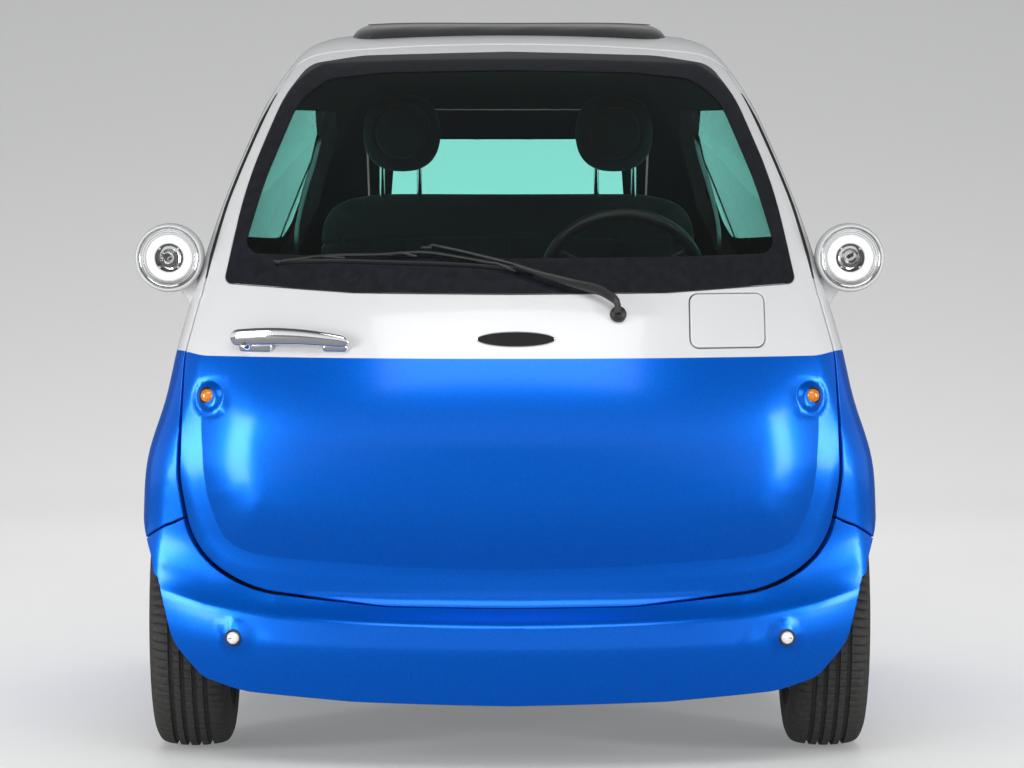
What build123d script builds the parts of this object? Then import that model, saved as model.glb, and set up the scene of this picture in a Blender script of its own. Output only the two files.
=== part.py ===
"""Two-seat microcar with a single front door that carries the windscreen.

Frame: +Z up, the nose faces -Y and the car's left side is +X. The origin is on the ground at the middle
of the length and width. Units are millimetres and degrees.
"""

import math
import os

from build123d import *

os.makedirs("parts", exist_ok=True)

# ---------------------------------------------------------------- driving dimensions
WALL = 42.0  # thickness of the double-skinned body walls, door and hatch
GAP = 6.0  # shut line round the door, hatch and flap
GLASS = 5.0  # thickness of every pane
GLASS_LAP = 24.0  # how far a pane laps over its frame
PANE_GAP = 0.5  # bond line between a pane and its rebate
SPLIT_Z = 795.0  # where the white upper colour meets the blue lower colour
SILL_Z = 195.0  # underside of the side panels
JACK_Z = 188.0  # underside of the jacking pads
JACK_PAD = 72.0  # side of a jacking pad
JACK_AT = [(336.0, -294.0), (336.0, 416.0)]
BUMPER_TOP = 480.0  # seams between the bumpers and the side panels
TAIL_TOP = 464.0
SEAM = 3.0
NOSE_Z = 130.0  # underside of the front bumper
LEDGE_Z = 290.0  # crease on top of the front bumper
TAIL_Z = 170.0  # underside of the rear bumper
ROOF_Z = 1434.0
MID_Y = -250.0  # where the sides are measured between the corners

TYRE_R = 266.0
TYRE_W = 155.0
RIM_R = 165.0
FRONT_AXLE_Y = -740.0
REAR_AXLE_Y = 780.0
FRONT_HALF_TRACK = 629.0
REAR_HALF_TRACK = 480.0
KINGPIN_X = 614.0
FRONT_ARCH_R = 300.0
REAR_ARCH_R = 292.0
FRONT_WELL_X = 416.0  # inner wall of the front wheel wells
REAR_WELL_X = 392.0
LINER = 4.0  # thickness of the wheel liners

# Horizontal sections of the body, from the nose's underside to the roof. Columns:
#   z, nose y at the centre, front corner x, front corner y, front corner radius, side x at MID_Y,
#   rear corner x, rear corner y, rear corner radius, tail y at the centre, lean of the wall in degrees
NOSE_SECTIONS = [
    (NOSE_Z, -1192, 696, -1010, 60, 650, 540, 1000, 140, 1120, 0),
    (190.0, -1210, 706, -1018, 62, 664, 556, 1020, 150, 1160, 0),
    (240.0, -1217, 712, -1022, 64, 674, 566, 1034, 160, 1184, 0),
    (LEDGE_Z, -1212, 717, -1018, 66, 682, 576, 1044, 170, 1200, 0),
]
BODY_SECTIONS = [
    (LEDGE_Z, -1205, 717, -1018, 66, 682, 576, 1044, 170, 1200, 0),
    (325.0, -1174, 719, -1010, 68, 688, 582, 1050, 174, 1207, 0),
    (380.0, -1160, 721, -1000, 74, 693, 588, 1054, 180, 1214, 0),
    (480.0, -1174, 717, -996, 84, 698, 596, 1056, 190, 1218, 0),
    (600.0, -1186, 706, -1000, 96, 698, 598, 1050, 200, 1212, 0),
    (700.0, -1182, 672, -998, 106, 690, 594, 1036, 206, 1196, 4),
    (795.0, -1162, 650, -982, 114, 674, 584, 1010, 208, 1168, 12),
    (916.0, -1106, 618, -938, 104, 636, 556, 958, 200, 1112, 24),
    (1080.0, -982, 569, -840, 90, 583, 492, 846, 180, 990, 36),
    (1214.0, -846, 520, -726, 88, 535, 432, 722, 160, 856, 44),
    (1303.0, -736, 483, -632, 94, 494, 384, 618, 150, 742, 52),
    (1354.0, -664, 454, -568, 100, 465, 352, 546, 140, 664, 60),
    (1385.0, -606, 432, -518, 104, 443, 330, 486, 130, 600, 66),
    (1414.0, -534, 401, -456, 104, 414, 300, 410, 120, 510, 74),
    (ROOF_Z, -446, 342, -380, 90, 368, 254, 310, 100, 386, 84),
]

# The front bumper's lower edge seen from the front, cut away over the tyres: x and z of its left half
BUMPER_EDGE = [(900, 372), (686, 372), (670, 300), (653, 241), (628, 204), (594, 177), (556, 161), (513, 151),
               (400, 143), (250, 137), (0, 134)]

# Front door, which swings on an upright hinge at the car's left corner
DOOR_HINGE = (656.0, -1045.0)
DOOR_BOTTOM_Z = 325.0
DOOR_BACK_Y = -885.0
DOOR_FLANGE = 14.0  # the outer skin laps past the door's core by this much
SKIN = 16.0  # depth of that outer skin
# Half outline of the door below the windscreen, as x and z
DOOR_EDGE = [(638, 330), (640, 600), (632, 795), (605, 900), (556, 966)]
# The windscreen frame leans back on a plane along the pillars: y and z at its foot and head
PILLAR_FOOT = (-952.0, 908.0)
PILLAR_HEAD = (-623.0, 1303.0)
# Half outline of the windscreen frame on that plane: across, up the slope
PILLAR_EDGE = [(608, -60), (603, 0), (558, 222), (478, 514), (430, 650)]
SWING_SKEW = 0.47  # sideways lean of the frame's edge by the handle, so that it swings clear
# Half outline of the windscreen glass, as x, z and the corner's radius
SCREEN_EDGE = [(563, 924, 14), (521, 1130, 900), (452, 1303, 260), (398, 1364, 46)]
SCREEN_BOTTOM_Z = 916.0
SCREEN_TOP_Z = 1384.0

# Service flap in the door, in front of the windscreen
FLAP_X = (348.0, 490.0)
FLAP_Z = (816.0, 914.0)
FLAP_DEPTH = 12.0

# Rear hatch, which hangs from the roof's rear edge
HATCH_HALF_W = 340.0
HATCH_Z = (470.0, 1330.0)
REAR_GLASS_HALF_W = 306.0
REAR_GLASS_Z = (966.0, 1262.0)

# Side window outline, as y and z
SIDE_WINDOW = [(-862, 958), (-796, 1075), (-690, 1204), (-580, 1300), (380, 1314), (560, 1262), (700, 1184),
               (800, 1100), (874, 958)]

# Folding roof
ROOF_OPENING = (292.0, -400.0, 200.0)  # half width, front y and rear y
SUNROOF = (328.0, -452.0, 246.0)
SUNROOF_THICK = 22.0

# Lamps
POD = (669.0, -917.0, 978.0)
POD_R = 68.0
POD_DEPTH = 112.0
LENS_R = 56.0
INDICATOR = (583.0, 712.0)
BUMPER_LAMP = (530.0, 248.0)
SMALL_LAMP_R = 15.5

# Steering and cabin
STEER_WHEEL = (234.0, -470.0, 929.0)
STEER_WHEEL_R = 176.0
COLUMN_LEAN = 32.0  # degrees of the steering shaft above the horizontal
FLOOR_Z = (200.0, 226.0)
BALL_Z = (151.0, 381.0)  # lower and upper ends of the steered uprights
SEAT_HALF_W = 520.0
HEADREST = (247.0, 472.0, 1238.0)
HEADREST_R = 89.0
HEADREST_THICK = 72.0


def lofted(sections, inset=0.0):
    """A body form through the sections, moved inwards by inset along each wall's own normal."""
    with BuildPart() as form:
        for z, nose, fx, fy, fr, mx, rx, ry, rr, tail, lean in sections:
            flat = inset * math.cos(math.radians(lean))
            drop = inset * math.sin(math.radians(lean))
            right_front, right_back = (fx - flat, fy + flat * 0.6), (rx - flat, ry - flat * 0.6)
            left_front, left_back = (-right_front[0], right_front[1]), (-right_back[0], right_back[1])
            with BuildSketch(Plane.XY.offset(z - drop)):
                with BuildLine():
                    ThreePointArc(left_front, (0, nose + flat), right_front)
                    ThreePointArc(right_front, (mx - flat, MID_Y), right_back)
                    ThreePointArc(right_back, (0, tail - flat), left_back)
                    ThreePointArc(left_back, (-mx + flat, MID_Y), left_front)
                make_face()
                fillet(vertices().sort_by(Axis.Y)[:2], max(fr - flat, 20.0))
                fillet(vertices().sort_by(Axis.Y)[-2:], max(rr - flat, 30.0))
        loft()
    return form.part


def body_form(inset=0.0):
    """The whole outside of the body, bumper nose included, moved inwards by inset."""
    return lofted(NOSE_SECTIONS, inset) + lofted(BODY_SECTIONS, inset)


def export(part, name):
    part.label = name
    export_step(part, f"parts/{name}.step")
    return part


def slab(x0, x1, y0, y1, z0, z1):
    """A plain box between two corners."""
    with BuildPart() as block:
        with Locations(((x0 + x1) / 2, (y0 + y1) / 2, (z0 + z1) / 2)):
            Box(x1 - x0, y1 - y0, z1 - z0)
    return block.part


def rod(centre, radius, length, axis=Axis.Z):
    """A cylinder centred on a point."""
    with BuildPart() as bar:
        plane = Plane(origin=centre, z_dir=axis.direction)
        with Locations(plane):
            Cylinder(radius, length)
    return bar.part


def front_prism(points, y0, y1, corner=0.0, grow=0.0):
    """A closed outline of x, z points swept along Y, with rounded corners."""
    with BuildPart() as prism:
        with BuildSketch(Plane.XZ.offset(-y1)):
            with BuildLine():
                Polyline(*points, close=True)
            make_face()
            if corner:
                fillet(vertices(), corner)
            if grow:
                offset(amount=grow)
        extrude(amount=y1 - y0)
    return prism.part


def side_prism(points, half_width, corner=0.0, grow=0.0):
    """A closed outline of y, z points swept across the car, with rounded corners."""
    with BuildPart() as prism:
        with BuildSketch(Plane.YZ):
            with BuildLine():
                Polyline(*points, close=True)
            make_face()
            if corner:
                fillet(vertices(), corner)
            if grow:
                offset(amount=grow)
        extrude(amount=half_width, both=True)
    return prism.part


def door_lower(grow=0.0):
    """The door below the windscreen, swept along Y."""
    with BuildPart() as prism:
        with BuildSketch(Plane.XZ.offset(-DOOR_BACK_Y)):
            with BuildLine():
                edge = [(x, z) for x, z in DOOR_EDGE]
                low = (edge[0][0], edge[0][1])
                ThreePointArc((-low[0], low[1]), (0, DOOR_BOTTOM_Z), low)
                Polyline(low, *edge[1:], *[(-x, z) for x, z in reversed(edge)])
            make_face()
            fillet(vertices().sort_by(Axis.Y)[:2], 200)
            if grow:
                offset(amount=grow)
        extrude(amount=DOOR_BACK_Y + 1300)
    return prism.part


def screen_plane():
    rise, run = PILLAR_HEAD[1] - PILLAR_FOOT[1], PILLAR_HEAD[0] - PILLAR_FOOT[0]
    return Plane(origin=(0, PILLAR_FOOT[0], PILLAR_FOOT[1]), x_dir=(1, 0, 0), z_dir=(0, -rise, run))


def pillar_prism(skew, grow):
    """The windscreen frame's outline, swept square to the pillars with a sideways lean."""
    plane = screen_plane()
    lean = Vector(-skew, plane.z_dir.Y, plane.z_dir.Z).normalized()
    plane.origin = plane.origin - lean * 80
    with BuildPart() as prism:
        with BuildSketch(plane):
            with BuildLine():
                foot, low, mid, high, head = PILLAR_EDGE
                Line((-foot[0], foot[1]), foot)
                Line(foot, low)
                ThreePointArc(low, mid, high)
                Line(high, head)
                Line(head, (-head[0], head[1]))
                Line((-head[0], head[1]), (-high[0], high[1]))
                ThreePointArc((-high[0], high[1]), (-mid[0], mid[1]), (-low[0], low[1]))
                Line((-low[0], low[1]), (-foot[0], foot[1]))
            make_face()
            fillet(vertices().sort_by(Axis.Y)[-2:], 62)
            if grow:
                offset(amount=grow)
        extrude(amount=300, dir=lean)
    return prism.part


def door_upper(grow=0.0):
    """The windscreen frame: its edges lean inwards with depth only where the swing needs it, by the handle."""
    return pillar_prism(0.0, grow) & pillar_prism(SWING_SKEW, grow)


def screen_prism(grow=0.0):
    """The windscreen's outline swept along Y."""
    right = [(x, z) for x, z, radius in SCREEN_EDGE]
    left = [(-x, z) for x, z in reversed(right)]
    with BuildPart() as prism:
        with BuildSketch(Plane.XZ.offset(420)):
            with BuildLine():
                ThreePointArc(left[-1], (0, SCREEN_BOTTOM_Z), right[0])
                Polyline(*right)
                ThreePointArc(right[-1], (0, SCREEN_TOP_Z), left[0])
                Polyline(*left)
            make_face()
            for x, z, radius in SCREEN_EDGE:
                for side in (-1, 1):
                    fillet(vertices().sort_by_distance((side * x, z))[0], radius)
            if grow:
                offset(amount=grow)
        extrude(amount=780)
    return prism.part


# ---------------------------------------------------------------- the body's forms
outer = body_form()
inner = body_form(WALL)
glass_in = body_form(GLASS)
core = body_form(SKIN)
shell = outer - inner

# Wheel wells, open to the side
wells = rod((0, FRONT_AXLE_Y, TYRE_R), FRONT_ARCH_R, 1800, Axis.X)
wells -= slab(-FRONT_WELL_X, FRONT_WELL_X, -1300, 0, -100, 800)
rear_wells = rod((0, REAR_AXLE_Y, TYRE_R), REAR_ARCH_R, 1800, Axis.X)
rear_wells -= slab(-REAR_WELL_X, REAR_WELL_X, 0, 1400, -100, 800)
wells += rear_wells
wells += slab(FRONT_WELL_X, 900, FRONT_AXLE_Y - 240, FRONT_AXLE_Y + 240, 0, TYRE_R)
wells += slab(-900, -FRONT_WELL_X, FRONT_AXLE_Y - 240, FRONT_AXLE_Y + 240, 0, TYRE_R)

# ---------------------------------------------------------------- front door
upper_half = slab(-900, 900, -1400, 1400, SPLIT_Z, 1600)
lower_half = slab(-900, 900, -1400, 1400, 0, SPLIT_Z)
rim_ring = (door_lower() - door_lower(-DOOR_FLANGE)) & slab(-900, 900, -1400, 0, 300, 860)
door_shell = (outer & (door_lower() + door_upper())) - inner
door_shell -= core & rim_ring
windscreen = (outer & screen_prism()) - glass_in
door_shell -= screen_prism(-GLASS_LAP)
door_shell -= (outer & screen_prism(PANE_GAP)) - glass_in
flap_box = [(FLAP_X[0], FLAP_Z[0]), (FLAP_X[1], FLAP_Z[0]), (FLAP_X[1], FLAP_Z[1]), (FLAP_X[0], FLAP_Z[1])]
service_flap = (outer & front_prism(flap_box, -1300, -900, 14)) - body_form(FLAP_DEPTH)
pocket = (outer & front_prism(flap_box, -1300, -900, 14, GAP)) - body_form(FLAP_DEPTH + 12)
door_shell -= pocket
door_frame = door_shell & upper_half
door_panel = door_shell & lower_half

# ---------------------------------------------------------------- hatch
hatch_box = [(-HATCH_HALF_W, HATCH_Z[0]), (HATCH_HALF_W, HATCH_Z[0]), (HATCH_HALF_W, HATCH_Z[1]),
             (-HATCH_HALF_W, HATCH_Z[1])]
hatch_shell = (outer & front_prism(hatch_box, 400, 1300, 18)) - inner
pane_box = [(-REAR_GLASS_HALF_W, REAR_GLASS_Z[0]), (REAR_GLASS_HALF_W, REAR_GLASS_Z[0]),
            (REAR_GLASS_HALF_W - 30, REAR_GLASS_Z[1]), (30 - REAR_GLASS_HALF_W, REAR_GLASS_Z[1])]
rear_glass = (outer & front_prism(pane_box, 400, 1300, 50)) - glass_in
hatch_shell -= (outer & front_prism(pane_box, 400, 1300, 50, PANE_GAP)) - glass_in
hatch_shell -= front_prism(pane_box, 400, 1300, 50, -GLASS_LAP)
hatch_frame = hatch_shell & upper_half
hatch_panel = hatch_shell & lower_half

# ---------------------------------------------------------------- fixed body panels
fixed = shell - door_lower(GAP) - door_upper(GAP) - front_prism(hatch_box, 400, 1300, 18, GAP) - wells
fixed -= slab(-ROOF_OPENING[0], ROOF_OPENING[0], ROOF_OPENING[1], ROOF_OPENING[2], 1300, 1500)
middle = slab(-300, 300, -1300, 1300, 800, 1500)
side_glass = (outer & side_prism(SIDE_WINDOW, 800, 40)) - glass_in - middle
cabin_shell = (fixed & upper_half) - side_prism(SIDE_WINDOW, 800, 40, -GLASS_LAP)
pane_pocket = (outer & side_prism(SIDE_WINDOW, 800, 40, PANE_GAP)) - glass_in - middle
pane_pocket = pane_pocket & slab(0, 900, -1400, 1400, 0, 1500)
cabin_shell -= pane_pocket
cabin_shell -= mirror(pane_pocket, Plane.YZ)
lower_body = fixed & lower_half
front_bumper = lower_body & slab(-900, 900, -1400, FRONT_AXLE_Y, 0, BUMPER_TOP)
bumper_under = BUMPER_EDGE[:-1] + [(-x, z) for x, z in reversed(BUMPER_EDGE)]
front_bumper -= front_prism(bumper_under + [(-900, 0), (900, 0)], -1400, FRONT_AXLE_Y)
rear_bumper = lower_body & slab(-900, 900, REAR_AXLE_Y, 1400, TAIL_Z, TAIL_TOP)
sides = lower_body - slab(-900, 900, -1400, FRONT_AXLE_Y, 0, BUMPER_TOP + SEAM)
sides -= slab(-900, 900, REAR_AXLE_Y, 1400, 0, TAIL_TOP + SEAM)
side_panel_left = sides & slab(0, 900, -1400, 1400, SILL_Z, SPLIT_Z)
side_panel_right = sides & slab(-900, 0, -1400, 1400, SILL_Z, SPLIT_Z)

sun_x, sun_y0, sun_y1 = SUNROOF
sun_cover = lofted(BODY_SECTIONS[-5:], -SUNROOF_THICK) - outer
with BuildPart() as sun_edge:
    with BuildSketch(Plane.XY.offset(1300)):
        with Locations((0, (sun_y0 + sun_y1) / 2)):
            RectangleRounded(2 * sun_x, sun_y1 - sun_y0, 60)
    extrude(amount=300)
sunroof = sun_cover & sun_edge.part

# ---------------------------------------------------------------- floor, liners and running gear
floor_tub = inner & slab(-900, 900, -1400, 1400, FLOOR_Z[0], FLOOR_Z[1])
floor_tub += inner & slab(-900, 900, 575, 1300, 556, 572)
liners = rod((0, FRONT_AXLE_Y, TYRE_R), FRONT_ARCH_R + LINER, 1800, Axis.X)
liners -= slab(LINER - FRONT_WELL_X, FRONT_WELL_X - LINER, -1300, 0, -100, 800)
rear_liners = rod((0, REAR_AXLE_Y, TYRE_R), REAR_ARCH_R + LINER, 1800, Axis.X)
rear_liners -= slab(LINER - REAR_WELL_X, REAR_WELL_X - LINER, 0, 1400, -100, 800)
liners = (liners + rear_liners) & inner & slab(-900, 900, -1400, 1400, FLOOR_Z[0], 800)
floor_tub = (floor_tub + liners) - wells
for x, y in JACK_AT:
    for side in (-1, 1):
        middle_x = side * x
        floor_tub += slab(middle_x - JACK_PAD / 2, middle_x + JACK_PAD / 2, y - JACK_PAD / 2, y + JACK_PAD / 2,
                          JACK_Z, FLOOR_Z[0])
floor_tub -= slab(-196, 196, REAR_AXLE_Y - 116, REAR_AXLE_Y + 136, 150, 300)
floor_tub -= rod((0, REAR_AXLE_Y, TYRE_R), 38, 1000, Axis.X)

drive_unit = slab(-190, 190, REAR_AXLE_Y - 110, REAR_AXLE_Y + 130, 176, 430)
drive_unit += rod((0, REAR_AXLE_Y, TYRE_R), 30, 2 * REAR_HALF_TRACK + 36, Axis.X)
drive_unit += slab(-190, 190, REAR_AXLE_Y - 60, REAR_AXLE_Y + 60, 430, 556)

arm_low, arm_high = BALL_Z[0] - 5, BALL_Z[1] + 5
subframe = slab(-FRONT_WELL_X, FRONT_WELL_X, FRONT_AXLE_Y - 90, FRONT_AXLE_Y - 10, arm_low - 12, 194)
for side in (-1, 1):
    for z0 in (arm_low - 12, arm_high):
        base, end = side * FRONT_WELL_X, side * (FRONT_WELL_X + 54)
        subframe += slab(min(base, end), max(base, end), FRONT_AXLE_Y - 100, FRONT_AXLE_Y + 30, z0, z0 + 12)
        tip = side * KINGPIN_X
        subframe += slab(min(base, tip), max(base, tip), FRONT_AXLE_Y - 22, FRONT_AXLE_Y + 22, z0, z0 + 12)
        subframe += rod((tip, FRONT_AXLE_Y, z0 + 6), 26, 12)
    subframe += rod((side * (FRONT_WELL_X + 36), FRONT_AXLE_Y - 64, 344), 20, 420)


def knuckle(side):
    upright = slab(-24, 12, -30, 30, BALL_Z[0], BALL_Z[1])
    upright += slab(-66, 0, -24, 112, 200, 212)
    upright += rod((20, 0, TYRE_R), 22, 24, Axis.X)
    if side < 0:
        upright = mirror(upright, about=Plane.YZ)
    return Pos(side * KINGPIN_X, FRONT_AXLE_Y, 0) * upright


def tyre():
    half = TYRE_W / 2
    with BuildPart() as ring:
        with BuildSketch(Plane.XZ):
            with BuildLine():
                Line((half - 14, RIM_R), (14 - half, RIM_R))
                ThreePointArc((14 - half, RIM_R), (-half, RIM_R + 48), (18 - half, TYRE_R - 9))
                ThreePointArc((18 - half, TYRE_R - 9), (0, TYRE_R), (half - 18, TYRE_R - 9))
                ThreePointArc((half - 18, TYRE_R - 9), (half, RIM_R + 48), (half - 14, RIM_R))
            make_face()
        revolve(axis=Axis.X)
    return ring.part


def rim():
    """A steel wheel with its outer face towards +X."""
    half = TYRE_W / 2 - 14
    with BuildPart() as wheel:
        with BuildSketch(Plane.XZ):
            with BuildLine():
                Polyline((-half, RIM_R), (half, RIM_R), (half, RIM_R - 7), (44, RIM_R - 13), (40, 70), (48, 60),
                         (48, 0), (26, 0), (26, 70), (30, RIM_R - 15), (-half, RIM_R - 7), close=True)
            make_face()
        revolve(axis=Axis.X)
        with BuildSketch(Plane.YZ.offset(20)):
            with PolarLocations(104, 12):
                Circle(13)
        extrude(amount=40, mode=Mode.SUBTRACT)
    return wheel.part


tyre_ring, rim_left = tyre(), rim()
rim_right = mirror(rim_left, about=Plane.YZ)

# ---------------------------------------------------------------- cabin
with BuildPart() as wheel_ring:
    Torus(STEER_WHEEL_R - 14, 14)
    Cylinder(42, 26)
    for turn in (180, 300, 60):
        with Locations(Rot(0, 0, turn + 90) * Pos((STEER_WHEEL_R - 14) / 2 + 10, 0, 0)):
            Box(STEER_WHEEL_R - 40, 26, 12)
tilt = Plane(origin=STEER_WHEEL, x_dir=(1, 0, 0),
             z_dir=(0, math.cos(math.radians(COLUMN_LEAN)), math.sin(math.radians(COLUMN_LEAN))))
steering_wheel = tilt.location * wheel_ring.part
column = tilt.location * rod((0, 0, -150), 24, 262)
post_y = STEER_WHEEL[1] - 250 * math.cos(math.radians(COLUMN_LEAN))
column += slab(STEER_WHEEL[0] - 26, STEER_WHEEL[0] + 26, post_y - 30, post_y + 30, FLOOR_Z[1], 800)
steering_rack = rod((0, FRONT_AXLE_Y + 100, 184), 9, 1080, Axis.X)

battery_block = slab(-370, 370, 0, 400, FLOOR_Z[1] + 6, 446)
seat_base = slab(-420, 420, -36, 436, FLOOR_Z[1], 472) - slab(-408, 408, -24, 424, FLOOR_Z[1] - 1, 458)
with BuildPart() as cushion:
    with Locations((0, 160, 534)):
        Box(2 * SEAT_HALF_W, 480, 112)
    fillet(edges(), 34)
seat_cushion = cushion.part
with BuildPart() as back:
    with BuildSketch(Plane.YZ):
        with BuildLine():
            Polyline((368, 600), (476, 1100), (566, 1080), (462, 600), close=True)
        make_face()
    extrude(amount=456, both=True)
    fillet(edges(), 28)
seat_back = back.part


def headrest(side):
    with BuildPart() as rest:
        with Locations(Plane(origin=(side * HEADREST[0], *HEADREST[1:]), z_dir=(0, 1, 0))):
            Cylinder(HEADREST_R, HEADREST_THICK)
        fillet(edges(), 26)
        for x in (-43, 43):
            with Locations((side * HEADREST[0] + x, HEADREST[1] + 18, HEADREST[2] - 110)):
                Cylinder(6, 90)
    return rest.part - seat_back


# ---------------------------------------------------------------- lamps and trim


def pod(side):
    x, y, z = POD
    with BuildPart() as shellpod:
        with Locations(Plane(origin=(x, y + POD_DEPTH / 2, z), z_dir=(0, 1, 0))):
            Cylinder(POD_R, POD_DEPTH)
        fillet(edges().group_by(Axis.Y)[-1], 22)
        fillet(edges().group_by(Axis.Y)[0], 7)
        foot = Vector(592, -862, 884)
        top = Vector(x - 18, y + 56, z - 30)
        with Locations(Plane(origin=(foot + top) * 0.5, z_dir=top - foot)):
            Cylinder(23, (top - foot).length)
        with Locations(Plane(origin=(x, y + 22, z), z_dir=(0, 1, 0))):
            Cylinder(LENS_R + 1, 44, mode=Mode.SUBTRACT)
        with Locations(Plane(origin=(x, y + POD_DEPTH, z), z_dir=(0, 1, 0))):
            Cylinder(42, 8, mode=Mode.SUBTRACT)
    solid = shellpod.part - outer
    solid = solid.solids().sort_by(Axis.X)[-1]
    return solid if side > 0 else mirror(solid, about=Plane.YZ)


def stud(x, z, y, radius, length):
    """A small round lamp that stands on the body's skin."""
    return rod((x, y, z), radius, length, Axis.Y) - outer


near = Pos(0, -14, 0) * outer
far = Pos(0, -27, 0) * outer
handle_plan = [(-538, 811), (-312, 811), (-312, 842), (-538, 842)]
door_handle = (far & front_prism(handle_plan, -1400, -900, 14)) - near
for x0 in (-532, -342):
    foot_plan = [(x0, 815), (x0 + 24, 815), (x0 + 24, 838), (x0, 838)]
    door_handle += (near & front_prism(foot_plan, -1400, -900, 6)) - outer
with BuildPart() as oval:
    with BuildSketch(Plane.XZ.offset(900)):
        with Locations((11, 831)):
            Ellipse(77, 15)
    extrude(amount=400)
nose_badge = ((Pos(0, -5, 0) * outer) & oval.part) - outer
wiper_plan = [(218, 872), (202, 872), (150, 918), (40, 975), (-180, 978), (-449, 972), (-449, 984), (-180, 1000),
              (20, 990), (60, 986), (160, 932), (218, 890)]
wiper = ((Pos(0, -26, 0) * outer) & front_prism(wiper_plan, -1400, -500)) - (Pos(0, -10, 0) * outer)
wiper += stud(208, 882, -1096, 11, 90)

pieces = {
    "cabin_shell": cabin_shell, "side_panel_left": side_panel_left, "side_panel_right": side_panel_right,
    "front_bumper": front_bumper, "rear_bumper": rear_bumper, "floor_tub": floor_tub,
    "front_subframe": subframe, "drive_unit": drive_unit, "battery_block": battery_block,
    "side_glass_left": side_glass & slab(0, 900, -1400, 1400, 0, 1500),
    "side_glass_right": side_glass & slab(-900, 0, -1400, 1400, 0, 1500),
    "sunroof": sunroof, "seat_base": seat_base, "seat_cushion": seat_cushion, "seat_back": seat_back,
    "steering_column": column, "steering_wheel": steering_wheel, "steering_rack": steering_rack,
    "door_frame": door_frame, "door_panel": door_panel, "windscreen": windscreen, "door_handle": door_handle,
    "nose_badge": nose_badge, "wiper": wiper, "service_flap": service_flap,
    "hatch_frame": hatch_frame, "hatch_panel": hatch_panel, "rear_glass": rear_glass,
}
for side, word in ((1, "left"), (-1, "right")):
    x, y, z = POD
    pieces[f"headlamp_housing_{word}"] = pod(side)
    pieces[f"headlamp_lens_{word}"] = rod((side * x, y + 24, z), LENS_R, 38, Axis.Y) - body_form(-1)
    pieces[f"mirror_glass_{word}"] = rod((side * x, y + POD_DEPTH - 2, z), 41.5, 3, Axis.Y)
    pieces[f"headrest_{word}"] = headrest(side)
    pieces[f"knuckle_{word}"] = knuckle(side)
    pieces[f"indicator_{word}"] = stud(side * INDICATOR[0], INDICATOR[1], -1052, SMALL_LAMP_R, 30)
    pieces[f"bumper_lamp_{word}"] = stud(side * BUMPER_LAMP[0], BUMPER_LAMP[1], -1116, SMALL_LAMP_R, 28)
    pieces[f"tail_lamp_{word}"] = stud(side * 470, 700, 1104, 34, 40)
    turned = rim_left if side > 0 else rim_right
    for end, axle, track in (("front", FRONT_AXLE_Y, FRONT_HALF_TRACK), ("rear", REAR_AXLE_Y, REAR_HALF_TRACK)):
        hub = Pos(side * track, axle, TYRE_R)
        pieces[f"tyre_{end}_{word}"] = hub * tyre_ring
        pieces[f"rim_{end}_{word}"] = hub * turned

for name, piece in pieces.items():
    export(piece, name)
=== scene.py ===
"""A two-seat microcar with a front door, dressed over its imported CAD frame.

Frame: +Z up, the nose faces -Y, the car's left side is +X. Tables are in millimetres, Blender is in metres.
The body is one surface. u runs round it, from 0 at the nose's middle over the left side to HALF_WAY at the tail's
middle, and below 0 or beyond HALF_WAY over the right side. t runs up it. Outlines are drawn as seen from the front,
side or back, found on the surface, and filled with a mesh.
"""

import math

import bmesh
import bpy
import numpy as np
from mathutils import Matrix, Vector
from mathutils.geometry import delaunay_2d_cdt


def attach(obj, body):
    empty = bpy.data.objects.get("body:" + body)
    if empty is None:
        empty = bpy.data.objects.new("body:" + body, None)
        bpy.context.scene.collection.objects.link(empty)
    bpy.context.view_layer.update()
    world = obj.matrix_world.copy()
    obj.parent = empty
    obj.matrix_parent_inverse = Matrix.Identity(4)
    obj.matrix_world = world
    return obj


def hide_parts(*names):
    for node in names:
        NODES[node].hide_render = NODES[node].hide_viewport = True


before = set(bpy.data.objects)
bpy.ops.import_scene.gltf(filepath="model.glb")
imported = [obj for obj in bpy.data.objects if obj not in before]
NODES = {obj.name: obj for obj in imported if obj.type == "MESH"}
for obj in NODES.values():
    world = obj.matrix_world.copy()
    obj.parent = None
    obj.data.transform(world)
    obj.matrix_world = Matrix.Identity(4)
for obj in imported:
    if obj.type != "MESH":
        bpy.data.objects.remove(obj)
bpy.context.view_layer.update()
MM = 0.001
HALF_WAY = 3520.0
MIRROR_X = (-1, 1, 1)
TO_RIGHT = (-1, 1)  # turns u and t on the left into those on the right
SIDES = ((False, "left"), (True, "right"))
UPPER, LOWER, BAND, CLEAR_PART, TINTED_PART, LINING = range(6)  # what the panels' faces are finished with

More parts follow.
